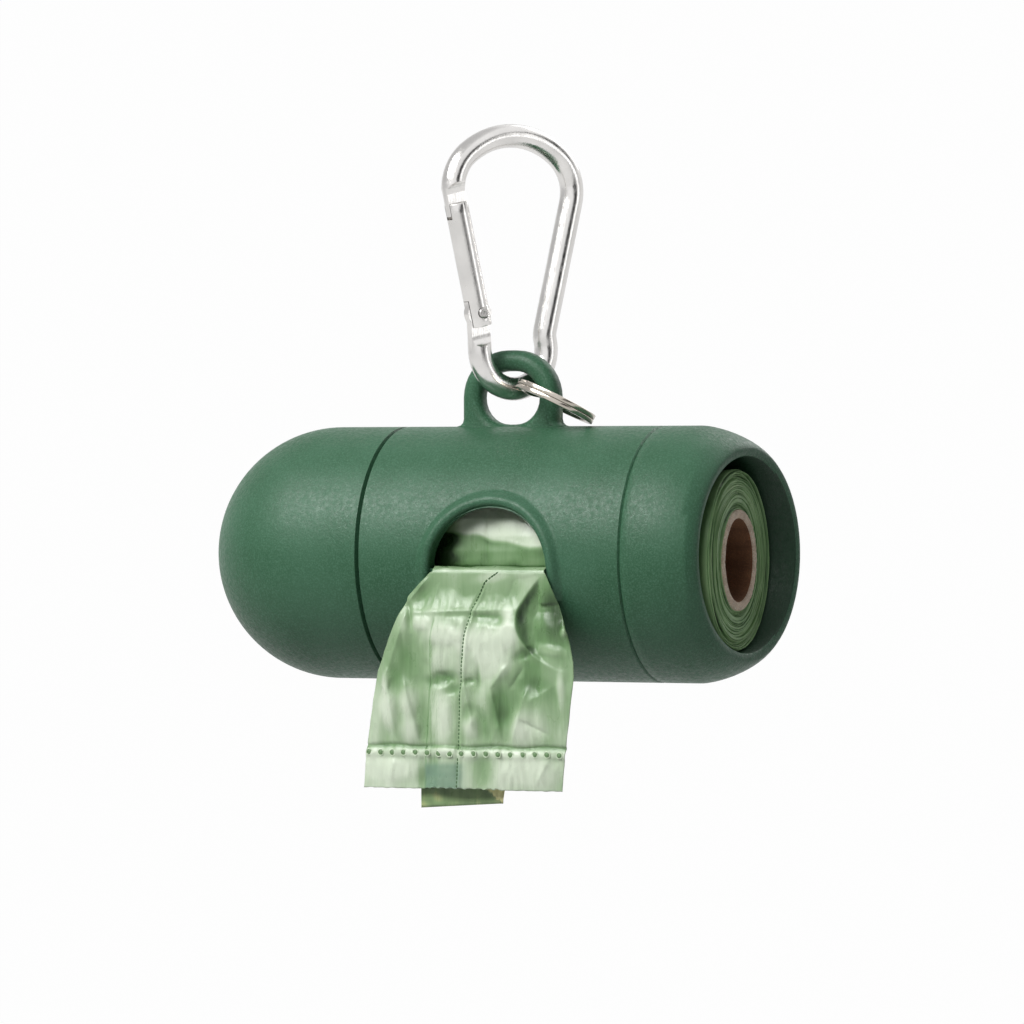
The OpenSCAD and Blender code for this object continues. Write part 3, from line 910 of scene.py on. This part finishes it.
def makeSplitRing():
    tilt, slope, turn = (math.radians(a) for a in ringForm["turns"])
    pose = Matrix.Rotation(turn, 4, "Z") @ Matrix.Rotation(slope, 4, "Y") @ Matrix.Rotation(tilt, 4, "X")
    b, t, g = ringForm["coil"] / 2, ringForm["thick"] / 2, ringForm["rounding"]
    section = []
    for sx, sz, first in ((1, 1, 0), (-1, 1, 90), (-1, -1, 180), (1, -1, 270)):
        for a in (first, first + 30, first + 60, first + 90):
            section.append((sx * (t - g) + g * cosd(a), sz * (b - g) + g * sind(a)))
    jog, steps = ringForm["jog"], ringForm["steps"]
    total = 720 - jog
    # the wire's ends are rounded off: how small, and how many degrees further
    ends = {-2: (0.55, -0.9), -1: (0.88, -0.6), steps + 1: (0.88, 0.6), steps + 2: (0.55, 0.9)}
    rows = []
    for i in range(-2, steps + 3):
        way = total * (min(max(i, 0), steps) / steps)
        small, further = ends.get(i, (1.0, 0.0))
        a = ringForm["start"] + jog / 2 + way + further
        lift = ringForm["step"] * (1 - 2 * ease(360 - jog, 360, way))
        row = []
        for out, up in section:
            r = ringForm["middle"] + out * small
            local = Vector((r * cosd(a), r * sind(a), lift + up * small))
            row.append(pose @ local + Vector(ringForm["centre"]))
        rows.append(row)
    return finishMesh(addMesh("keyRing", *capped(rows), ringNickel), 40)


place(makeSplitRing(), "ring", "ring", "split_ring")
print("split ring made")


rivet = {
    "pivot": (-3.858, -5.72, -27.4),
    "axis": (-0.829, 0.559, 0.0),
    # (distance from the rod's middle, radius): dimple, rolled head, shank
    "half": [
        (2.0, 0.02), (2.02, 0.16), (2.1, 0.27), (2.15, 0.4), (2.14, 0.6),
        (2.06, 0.78), (1.93, 0.88), (1.66, 0.9), (1.65, 0.6),
    ],
}


def makeRivet():
    pivot, axis = Vector(rivet["pivot"]), Vector(rivet["axis"]).normalized()
    up = Vector((0, 0, 1))
    across = up.cross(axis)
    half = rivet["half"]
    rows = []
    for h, r in half + [(-h, r) for h, r in reversed(half)]:
        turns = [up * cosd(a) + across * sind(a) for a in around(40)]
        rows.append([pivot + axis * h + turn * r for turn in turns])
    return finishMesh(addMesh("gateRivet", *capped(rows), rivetSteel), 30)


place(makeRivet(), "hook", "steel", "gate_rivet")
print("rivet made")


gate = {
    "way": (-0.1271, -0.1884, 0.9738),
    "radius": 1.95,
    "foot": -2.2,
    "head": 18.5,
    "slots": [(-3.2, 2.35), (16.0, 19.5)],
    "slotWidth": 1.6,
    "recess": (1.0, 1.55),  # for the rivet's heads: radius, distance from the middle
    "hole": 0.65,
    "bore": (0.75, 1.35, 9.35),  # radius, from, to
}


def makeGate():
    origin = Vector(rivet["pivot"])
    up, side = Vector(gate["way"]), -Vector(rivet["axis"]).normalized()
    across = up.cross(side).normalized()

    def at(u, s, n):
        return origin + up * u + across * s + side * n

    def along(stations, n=72):
        return [[at(u, r * cosd(a), r * sind(a)) for a in around(n)] for u, r in stations]

    def through(r, n0, n1):
        return [[at(r * cosd(a), r * sind(a), h) for a in around(40)] for h in (n0, n1)]

    r, low, high = gate["radius"], gate["foot"], gate["head"]
    body = [(low, r - 0.16), (low + 0.05, r - 0.05), (low + 0.16, r)]
    body += [(low + (high - low) * i / 12, r) for i in range(1, 12)]
    body += [(high - 0.16, r), (high - 0.05, r - 0.05), (high, r - 0.16)]
    rod = finishMesh(addMesh("gateRod", *capped(along(body)), drawnAluminium), 40)
    w, far = gate["slotWidth"] / 2, 4
    corners = ((-far, -w), (far, -w), (far, w), (-far, w))
    cuts = [[[at(u, s, n) for s, n in corners] for u in ends] for ends in gate["slots"]]
    wide, deep = gate["recess"]
    cuts += [through(wide, deep, 3), through(wide, -3, -deep), through(gate["hole"], -3, 3)]
    bore, start, end = gate["bore"]
    cuts.append(along([(start, bore), (end, bore)], 24))
    for rows in cuts:
        cutWith(rod, finishMesh(addMesh("cutter", *capped(rows), drawnAluminium)))
    return finishMesh(rod, 35, 0.0005)


place(makeGate(), "gate", "rod", "carabiner_gate")
print("gate made")


# heights are from the capsule's axis
bag = {
    "across": 180,
    "down": 262,
    "thick": 0.06,
    "lipHeight": -2.05,  # of the film over the slot's flat lip
    "lipFront": -22.15,  # where it turns down
    "turnRadius": 0.55,
    "inner": 5.0,  # of film between the roll and the lip
    # how far up from there, its depth and its height as it comes off the roll
    "wrapY": [
        (0, -16.6), (0.6, -17.0), (2.8, -17.1), (5.3, -16.8), (8.2, -16.0), (11.1, -14.4), (14.6, -11.9),
    ],
    "wrapZ": [(0, -2.05), (0.6, -1.6), (2.8, 0.6), (5.3, 3.1), (8.2, 5.9), (11.1, 8.3), (14.6, 10.8)],
    "wrap": 14.6,
    "foot": -37.7,
    "stand": 0.9,  # how far the hanging part stands off
    "left": [
        (-37.6, -16.7), (-31.7, -16.3), (-26.7, -15.6), (-18.8, -14.2),
        (-10, -10.6), (-7.4, -9.1), (-6.6, -8.9), (-2.3, -4.8),
    ],
    "right": [
        (-37.6, 18.2), (-31.7, 18.9), (-26.5, 19.6), (-19.4, 20.4),
        (-17, 20.2), (-12.5, 19.2), (-7.6, 17.3), (-2.3, 14.8),
    ],
    "hem": -31.9,  # height of the perforated row
    "crease": [
        (-37.6, 0.1), (-28.2, 0.4), (-23, 0.6), (-17, 1.1),
        (-12.5, 1.6), (-8.3, 2.6), (-4.2, 4.5), (-2.2, 7.4),
    ],
    "fold": [(-37.6, -5.7), (-30, -5.4), (-21.6, -4.7), (-14, -4.5), (-10.4, -3.8)],
    "pleat": [
        (-19.0, 19.0), (-17.0, 14.6), (-15.1, 12.4), (-12.2, 10.6),
        (-9.0, 10.2), (-4.8, 12.9), (-2.9, 14.8),
    ],
    "pleatDepth": [
        (-18.5, 0.0), (-16.5, 0.25), (-15.0, 0.6), (-12.0, 1.2),
        (-9.0, 1.4), (-6.0, 0.9), (-3.5, 0.4), (-2.6, 0.1),
    ],
    # how far beside the pleat the flap sinks and is painted darker as shade
    "gloom": [(-17.2, 0.4), (-15.0, 0.9), (-12.0, 1.7), (-9.0, 2.3), (-6.0, 1.6), (-3.0, 0.4)],
}

# soft hollows, and bulges below zero: x, height, half width, half height, turn, how strong;
# each also paints the colour, darker in a hollow as shade and lighter on a bulge as a highlight
hollows = [
    (-1.1, -5.6, 9.4, 2.9, 0, 0.25), (-6.0, -6.9, 2.6, 1.6, 0, 0.2), (-8.4, -9.5, 0.6, 2.1, 8, 0.3),
    (-8.8, -16.6, 4.3, 4.2, 0, 0.35), (-11.0, -20.3, 1.3, 2.4, 10, 0.3),
    (-10.1, -27.1, 1.3, 3.4, 5, 0.25), (-6.0, -26.6, 1.0, 3.4, 0, 0.3),
    (-2.8, -20.0, 2.6, 1.1, 10, 0.5), (-0.5, -21.6, 1.4, 0.8, 20, 0.35),
    (2.2, -20.2, 1.0, 0.5, 10, 0.3), (3.9, -19.3, 0.3, 1.8, 0, 0.2), (2.2, -25.3, 0.9, 1.6, -10, 0.35),
    (4.6, -27.1, 1.1, 2.9, 20, 0.25), (8.3, -23.5, 2.8, 3.4, 0, 0.55), (8.3, -27.4, 1.5, 2.6, 0, 0.2),
    (12.9, -19.3, 3.9, 2.6, -15, 0.32), (14.6, -21.6, 3.7, 1.8, -20, 0.22),
    (15.6, -10.6, 3.2, 6.4, 0, 0.3), (12.0, -15.6, 1.7, 0.8, 30, 0.4), (6.3, -10.3, 3.1, 0.8, -5, 0.35),
    (1.7, -9.5, 5.7, 0.5, 0, 0.15), (-6.2, -35.8, 1.1, 1.6, 0, 0.25), (4.6, -34.5, 2.0, 2.4, 0, 0.2),
    (-2.2, -12.7, 2.3, 1.6, 0, -0.5), (4.6, -14.0, 5.4, 2.4, 0, -0.5), (-2.2, -16.6, 2.0, 2.1, 0, -0.35),
    (5.2, -17.7, 4.3, 1.8, 0, -0.35), (9.2, -12.2, 1.7, 2.1, 0, -0.35), (8.6, -9.5, 1.0, 1.6, 0, -0.3),
    (-6.2, -10.9, 1.7, 1.0, 0, -0.3), (-12.4, -20.3, 0.7, 1.8, -8, -0.35),
    (-12.1, -25.0, 1.4, 2.9, 5, -0.35), (-8.5, -23.7, 1.3, 2.6, -8, -0.3),
    (-8.5, -28.2, 1.7, 1.8, 0, -0.3), (-2.5, -26.1, 1.7, 4.2, 0, -0.4), (2.6, -27.4, 1.3, 2.0, 0, -0.3),
    (5.2, -22.4, 1.4, 2.9, 0, -0.35), (12.6, -27.1, 3.1, 2.9, 0, -0.4), (18.2, -21.6, 0.7, 3.1, 5, -0.4),
    (18.6, -12.2, 0.6, 0.8, -30, -0.5), (16.0, -15.1, 2.6, 0.8, -10, -0.3),
    (-11.7, -34.5, 5.1, 1.8, 0, -0.3), (13.2, -34.7, 4.9, 2.4, 0, -0.35),
    (-2.2, -31.1, 2.6, 0.7, 0, -0.3), (5.5, -3.5, 3.4, 0.8, 10, -0.25),
]

# sharp creases: from, to, height towards the front, width on either side
creases = [
    ((-4.6, -2.6), (-8.9, -7.6), 0.6, 0.8, 2.2),
    ((-8.9, -7.6), (-7.8, -12.0), -0.5, 0.5, 1.2),
    ((-8.2, -9.2), (9.0, -8.6), 0.35, 0.5, 1.2),
    ((-8.5, -8.0), (-12.6, -20.0), 0.5, 1.4, 1.0),
    ((-12.6, -18.0), (-10.6, -29.5), 0.6, 1.2, 0.6),
    ((-9.4, -19.5), (-6.6, -30.0), 0.5, 0.5, 1.4),
    ((1.6, -20.8), (-4.2, -18.6), -0.2, 0.6, 1.3),
    ((1.5, -20.5), (3.2, -28.5), 0.5, 0.5, 1.2),
    ((6.2, -21.0), (9.0, -17.5), 0.5, 0.5, 1.6),
    ((6.0, -21.0), (8.0, -30.0), 0.7, 0.5, 2.2),
    ((12.2, -21.5), (9.8, -30.0), 0.6, 1.8, 0.5),
    ((9.4, -21.2), (11.8, -17.6), -0.3, 0.3, 0.5),
    ((11.2, -26.4), (15.8, -28.6), -0.35, 0.3, 0.8),
    ((17.6, -20.5), (12.4, -23.5), 0.2, 1.6, 0.5),
    ((18.2, -10.5), (19.2, -14.0), 0.4, 0.4, 0.7),
    ((-3.0, -2.7), (-4.6, -9.0), 0.12, 0.2, 0.5),
    ((16.0, -32.6), (13.8, -37.0), 0.3, 0.7, 1.1),
    ((-11.0, -33.0), (-12.0, -37.0), 0.25, 0.9, 0.7),
]


def foldLine(x, z, a, b, height, leftWidth, rightWidth):
    # a ridge or valley along a-b that fades at both ends
    dx, dz = b[0] - a[0], b[1] - a[1]
    long = math.hypot(dx, dz)
    t = ((x - a[0]) * dx + (z - a[1]) * dz) / (long * long)
    if t < -0.15 or t > 1.15:
        return 0.0
    side = ((x - a[0]) * dz - (z - a[1]) * dx) / long
    width = leftWidth if side < 0 else rightWidth
    return height * math.exp(-abs(side) / width) * ease(-0.15, 0.2, t) * (1 - ease(0.7, 1.15, t))


def hollow(x, z, cx, cz, w, h, turn, strength):
    dx, dz = x - cx, z - cz
    a = dx * cosd(turn) + dz * sind(turn)
    b = dz * cosd(turn) - dx * sind(turn)
    q = (a / w) ** 2 + (b / h) ** 2
    return strength * math.exp(-0.5 * q * q - 0.35 * q) if q < 9 else 0.0


def filmRelief(x, z, u, seed=3.7):
    # how far the film stands out towards the front, and its painted light and shade there: darker in
    # hollows and on the right-hand part, lighter on bulges and where waves stand forward
    free = ease(-3.4, -9, z)
    depth = sum(hollow(x, z, *h) for h in hollows)
    d = sum(foldLine(x, z, *c) for c in creases) - 0.85 * depth * (0.25 + 0.75 * free)
    # broad, middling and small waves, and a fine ruffle
    wave = noiseAt(x * 0.3 + seed, z * 0.12, 1.7)
    d += free * 0.9 * noiseAt(x * 0.11 + seed, z * 0.05, 0.3)
    d += free * 0.45 * wave
    d += free * 0.2 * (0.5 - abs(noiseAt(x * 0.7, z * 0.26, seed + 5.1)))
    d += 0.05 * noiseAt(x * 1.3, z * 0.5, seed + 9.4)
    d += 0.4 * free * math.sin(math.pi * u)
    side = ease(5, 15, x) * ease(-3, -8, z) * (1 - ease(-24, -29, z))
    return d, 0.34 + 0.72 * depth - 0.2 * wave + 0.14 * side


def onRoll(u, up):
    # up the front of the roll: a painted light band on top, painted shade below it and painted shadow
    # towards the left
    left, right = bag["left"][-1][1], bag["right"][-1][1]
    x = left - 1.6 + (right - left + 2.2) * u
    y, z = lookUp(bag["wrapY"], up), lookUp(bag["wrapZ"], up)
    push = 0.5 * noiseAt(x * 0.2, z * 0.2, 8.2) - 0.1 * hump((x - 2.6 + 0.1 * z) / 0.2)
    edge = 3.2 - 0.16 * x + 0.9 * noiseAt(x * 0.3, 0.2, 3.3)
    lit = ease(edge - 0.5, edge + 0.5, z)
    tone = 0.7 - 0.7 * lit + 0.2 * noiseAt(x * 0.35, z * 0.6, 1.1) + 0.6 * ease(-0.5, -6, x)
    return x, y - push * ease(0, 1.5, up), z, clamp(tone)


def overLip(u, w):
    # flat from the roll to the lip, then round it
    lip, front, r, flat = bag["lipHeight"], bag["lipFront"], bag["turnRadius"], bag["inner"]
    left, right = bag["left"][-1][1], bag["right"][-1][1]
    x = left + (right - left) * u
    if w >= flat:
        a = math.degrees((w - flat) / r)
        tone = 0.5 + 0.3 * noiseAt(x * 0.4, 0.5, 1.0)
        return x, front + r - r * sind(a), lip - r + r * cosd(a), tone
    t = w / flat
    y = front + r + (flat - w)
    z = lip + 0.3 * math.sin(math.pi * t) * (0.4 + 0.6 * abs(math.sin(7 * u + 1)))
    # painted shade deepens on the flat part towards the roll, back under the lip
    back = ease(0, 1, (flat - w) / 2)
    x -= 1.6 * (1 - u) * (1 - t) - 0.6 * u * (1 - t)
    return x, y, z + 0.25 * noiseAt(x * 0.5, y * 0.5, 2.0) * back * t, 0.45 + 0.3 * back


def pleated(x, z):
    # the cone left of the pleat rolls over the flap that lies behind
    line = sum(lookUp(bag["pleat"], z + lift) for lift in (-1.1, -0.5, 0, 0.5, 1.1)) / 5
    side = 0.8 * (x - line)
    deep, wide = lookUp(bag["pleatDepth"], z), lookUp(bag["gloom"], z)
    inside = clamp((side + 0.05) / (wide + 0.1)) * (1 - ease(wide, wide + 3.2, side))
    roller = hump(min(0.0, side) / 1.8) * (1 - ease(-0.15, 0.4, side))
    gloom = ease(-0.15, 0.1, side) * (1 - ease(0.1 * wide, 0.95 * wide, side)) * ease(0.1, 1.0, deep)
    # painted shade in the gloom beside the pleat and over the upper flap, and a painted highlight along
    # the cone's rolled edge
    shade = 0.42 * gloom + 0.16 * ease(0, 0.8, side) * ease(-18, -12, z)
    shade -= 0.3 * hump((side + 0.9) / 0.8) * ease(0.5, 2.0, deep)
    return deep * (0.3 * roller - inside), shade


def seamed(x, z):
    # the lapped strip between the fold and the dashes stands a little proud, with pull lines
    low = ease(-9.6, -11, z)
    fold, crease = lookUp(bag["fold"], z), lookUp(bag["crease"], z)
    d = 0.18 * ease(fold - 0.1, fold + 0.1, x) * (1 - ease(crease + 5, crease + 9, x)) * low
    d += 0.18 * hump((x - crease - 0.5) / 0.32) - 0.22 * hump((x - crease) / 0.28)
    strip = ease(fold, fold + 0.3, x) * (1 - ease(fold + 1.5, fold + 3.0, x)) * ease(-9.6, -12, z)
    # a painted shade line along the fold, and darker streaks in the strip
    shade = 0.32 * hump((x - fold) / 0.12) * low
    return d, shade + 0.32 * max(0.0, noiseAt(x * 4.1, z * 0.22, 2.2)) * strip


def hemmed(x, z):
    # a pressed line over the row of holes and a flat strip below it, where the tail shows through
    over = z - bag["hem"] + 0.12 * math.sin(x * 0.7)
    ridge = hump((over + 0.1) / 0.7)
    seen = ease(-7.1, -6.8, x) * (1 - ease(7.3, 7.7, x)) * ease(-32.4, -33.2, z)
    # painted shade in the groove above the pressed line and a painted highlight on it; darker where the
    # tail shows through, lighter below the holes
    shade = 0.42 * hump((over - 1.0) / 0.3) - 0.22 * ridge + 0.1 * seen - 0.14 * ease(-32.4, -33.2, z)
    return 0.28 * ridge - 0.3 * hump((over - 1.15) / 0.3), shade


def filmPoint(u, w):
    # u across, w the length of film from the roll's side of the lip
    lip, r = bag["lipHeight"], bag["turnRadius"]
    hung = w - bag["inner"] - r * math.pi / 2
    if w < 0:
        return onRoll(u, -w)
    if hung < 0:
        return overLip(u, w)
    z = lip - r - hung
    left, right = lookUp(bag["left"], z), lookUp(bag["right"], z)
    x = left + (right - left) * u
    d, shade = filmRelief(x, z, u)
    d *= ease(lip - r, lip - r - 2.5, z)
    for form in (pleated, seamed, hemmed):
        more, tone = form(x, z)
        d += more
        shade += tone
    d += bag["stand"] * ease(-5, -12, z)
    # the flap may fall back below the slot's bead, but not behind it
    room = ease(8.6, 10.6, x) * ease(-3, -7, z) * (1 - ease(-19, -23, z))
    room *= 1 - ease(13.2, 14.4, x) * (1 - ease(-7.4, -8.8, z))
    return x, bag["lipFront"] - max(d, 0.1 - 1.3 * room), z, clamp(shade)


def inkBehind(x, z):
    # the darker, cooler patch in the strip below the holes
    up = ease(-32.8, -34.2, z) * (1 - ease(-37.2, -38.2, z))
    side = ease(-6.2, -5.4, x) * (1 - ease(0.2, 2.4, x))
    return up * side * (0.85 + 0.3 * noiseAt(x * 0.3, z * 0.7, 1))


def onFilm(x, z, lift):
    # a point just over the film's front at x and height z below the lip
    left, right = lookUp(bag["left"], z), lookUp(bag["right"], z)
    r = bag["turnRadius"]
    w = bag["inner"] + r * math.pi / 2 + bag["lipHeight"] - r - z
    px, y, pz, _ = filmPoint((x - left) / (right - left), w)
    return px, y - lift, pz + axisHeight


def makeSheet(name, sheet, pointAt, finish):
    # thin film through pointAt(u, v), which also gives what its finish reads there
    n, m = sheet["across"], sheet["down"]
    rows, maps = [], {}
    for i in range(m):
        row = []
        for k in range(n):
            x, y, z, tones = pointAt(k / (n - 1), i / (m - 1))
            row.append((x, y, z + axisHeight))
            for key, tone in tones.items():
                maps.setdefault(key, []).append(tone)
        rows.append(row)
    obj = addMesh(name, allPoints(rows), skin(rows, closed=False), finish, **maps)
    smoothFaces(obj.data)
    solid = obj.modifiers.new("thick", "SOLIDIFY")
    solid.thickness = sheet["thick"] * mm
    solid.offset = 0
    return obj


def bagPoint(u, v):
    r, wrap = bag["turnRadius"], bag["wrap"]
    total = wrap + bag["inner"] + r * math.pi / 2 + (bag["lipHeight"] - r - bag["foot"])
    x, y, z, shade = filmPoint(u, total * v - wrap)
    if v == 1:
        # torn along the perforation between two bags
        tear = abs(math.sin(x * 1.9)) + 0.5 * abs(noiseAt(x * 2.3, 0, 4))
        z += 0.28 * tear * ease(-6, -5, x) * (1 - ease(7, 8, x))
        z += 0.1 * noiseAt(x, 0, 0)
    cool = max(0.0, inkBehind(x, z)) if y < -20 else 0.0
    return x, y, z, {"shade": shade, "cool": cool}


leadingBag = makeSheet("leadingBag", bag, bagPoint, bagFilm)
place(leadingBag, "capsule", "film", "leading_bag")
print("leading bag made")


def beadShape(tree, start):
    # a small ball, stretched along its own X
    ball = setInputs(addNode(tree, "GeometryNodeMeshUVSphere"), Segments=8, Rings=6, Radius=1)
    stretch = addNode(tree, "ShaderNodeCombineXYZ")
    for axis, label in (("X", "Half length"), ("Y", "Half width"), ("Z", "Half width")):
        join(tree, (start.outputs[label], stretch.inputs[axis]))
    return ball.outputs["Mesh"], stretch.outputs[0]


def ringShape(tree, start):
    # a thin round wire in a circle
    sweep = addNode(tree, "GeometryNodeCurveToMesh")
    for label, steps, into in (("Radius", 20, "Curve"), ("Rim", 6, "Profile Curve")):
        circle = setInputs(addNode(tree, "GeometryNodeCurvePrimitiveCircle"), Resolution=steps)
        join(tree, (start.outputs[label], circle.inputs["Radius"]))
        join(tree, (circle.outputs["Curve"], sweep.inputs[into]))
    return sweep.outputs["Mesh"], None


def rowTree(name, shape, axis, sizes, finish):
    # one small shape on each point, its axis turned along the point's "heading"
    tree = bpy.data.node_groups.new(name, "GeometryNodeTree")
    face = tree.interface
    face.new_socket("Points", in_out="INPUT", socket_type="NodeSocketGeometry")
    keys = {}
    for label, value in sizes.items():
        socket = face.new_socket(label, in_out="INPUT", socket_type="NodeSocketFloat")
        socket.default_value = value
        keys[label] = socket.identifier
    face.new_socket("Mesh", in_out="OUTPUT", socket_type="NodeSocketGeometry")
    start, end = addNode(tree, "NodeGroupInput"), addNode(tree, "NodeGroupOutput")
    copies = addNode(tree, "GeometryNodeInstanceOnPoints")
    form, stretch = shape(tree, start)
    if stretch:
        join(tree, (stretch, copies.inputs["Scale"]))
    heading = addNode(tree, "GeometryNodeInputNamedAttribute", data_type="FLOAT_VECTOR")
    setInputs(heading, Name="heading")
    turn = addNode(tree, "FunctionNodeAlignRotationToVector", axis=axis)
    smooth = addNode(tree, "GeometryNodeSetShadeSmooth")
    whole = addNode(tree, "GeometryNodeRealizeInstances")
    paint = setInputs(addNode(tree, "GeometryNodeSetMaterial"), Material=finish)
    join(
        tree,
        (heading.outputs["Attribute"], turn.inputs["Vector"]),
        (start.outputs["Points"], copies.inputs["Points"]),
        (form, copies.inputs["Instance"]),
        (turn.outputs[0], copies.inputs["Rotation"]),
        (copies.outputs["Instances"], smooth.inputs["Geometry"]),
        (smooth.outputs["Geometry"], whole.inputs["Geometry"]),
        (whole.outputs["Geometry"], paint.inputs["Geometry"]),
        (paint.outputs["Geometry"], end.inputs["Mesh"]),
    )
    return tree, keys


def makeRow(name, spots, shape, axis, sizes, finish):
    # spots: (place in mm, heading)
    points = bpy.data.meshes.new(name)
    points.from_pydata([Vector(p) * mm for p, _ in spots], [], [])
    layer = points.attributes.new("heading", "FLOAT_VECTOR", "POINT")
    for value, (_, h) in zip(layer.data, spots):
        value.vector = h
    obj = newObject(name, points)
    sizes = {label: value * mm for label, value in sizes.items()}
    tree, keys = rowTree(name, shape, axis, sizes, finish)
    step = obj.modifiers.new(name, "NODES")
    step.node_group = tree
    for label, key in keys.items():
        step[key] = sizes[label]
    baked(obj, step)
    return place(finishMesh(obj, 60, 0.0001), "capsule", "film")


row = {
    "holes": 17,
    "holeRadius": 0.43,
    "left": -15.7,
    "width": 33.6,
    "sway": 0.06,  # of the holes about a straight line
    "rim": 0.1,
}
stitch = {
    "top": -2.75,
    "pitch": 0.62,
    "long": 0.27,
    "wide": 0.15,
    "sway": 9,  # degrees either way
}

holeSpots = []
for i in range(row["holes"]):
    x = row["left"] + row["width"] * i / (row["holes"] - 1)
    z = bag["hem"] + row["sway"] * math.sin(5.1 * i)
    holeSpots.append((onFilm(x, z, 0.02), (0.0, -1.0, 0.0)))
hole = {"Half length": 0.16, "Half width": row["holeRadius"]}
makeRow("perforations", holeSpots, beadShape, "X", hole, punchedFilm)
rim = {"Radius": row["holeRadius"] + 0.07, "Rim": row["rim"]}
makeRow("perforationRims", holeSpots, ringShape, "Z", rim, rimFilm)

dashSpots = []
z = stitch["top"]
while z > bag["foot"] + 0.4:
    drop = stitch["pitch"]
    if abs(z - bag["hem"]) > 0.7:
        a, b = (onFilm(lookUp(bag["crease"], end), end, 0.03) for end in (z + 0.2, z - 0.2))
        way = Vector(b) - Vector(a)
        turn = math.radians(stitch["sway"] * math.sin(3.7 * z))
        way.rotate(Matrix.Rotation(turn, 3, "Y"))
        dashSpots.append(((Vector(a) + Vector(b)) / 2, way.normalized()))
        drop *= abs(way.z) / way.length
    z -= drop
dash = {"Half length": stitch["long"], "Half width": stitch["wide"]}
makeRow("seamDashes", dashSpots, beadShape, "X", dash, dashShade)
print("perforations and dashes made")


tail = {
    "across": 50,
    "down": 60,
    "thick": 0.1,
    "top": -9.2,
    "left": -7.1,
    "foot": (-40.9, -39.9),  # height at its left and right
    "side": [(-41, 7.2), (-37.7, 7.7), (-9, 7.4)],
    "front": -21.72,
    "fold": ((4.4, -37.6), (7.2, -39.6)),  # the corner turned back
}


def tailPoint(u, v):
    left, (z0, z1) = tail["left"], tail["foot"]
    (fx0, fz0), (fx1, fz1) = tail["fold"]
    z = tail["top"] + (z0 + (z1 - z0) * u - tail["top"]) * v
    x = left + (lookUp(tail["side"], z) - left) * u
    cross = (x - fx0) * (fz1 - fz0) - (z - fz0) * (fx1 - fx0)
    turned = ease(-0.1, 0.1, cross)
    y = tail["front"] + 0.1 * noiseAt(x * 0.4, z * 0.3, 7) + 0.22 * turned
    tone = 0.22 + 0.5 * turned + 0.25 * noiseAt(x * 0.5, z * 0.5, 2)
    return x, y - 0.12 * hump(cross / 0.5), z, {"shade": tone + 0.15 * ease(-39, -37.5, z)}


bagTail = makeSheet("bagTail", tail, tailPoint, tailFilm)
place(bagTail, "capsule", "film", "bag_tail")
print("bag tail made")
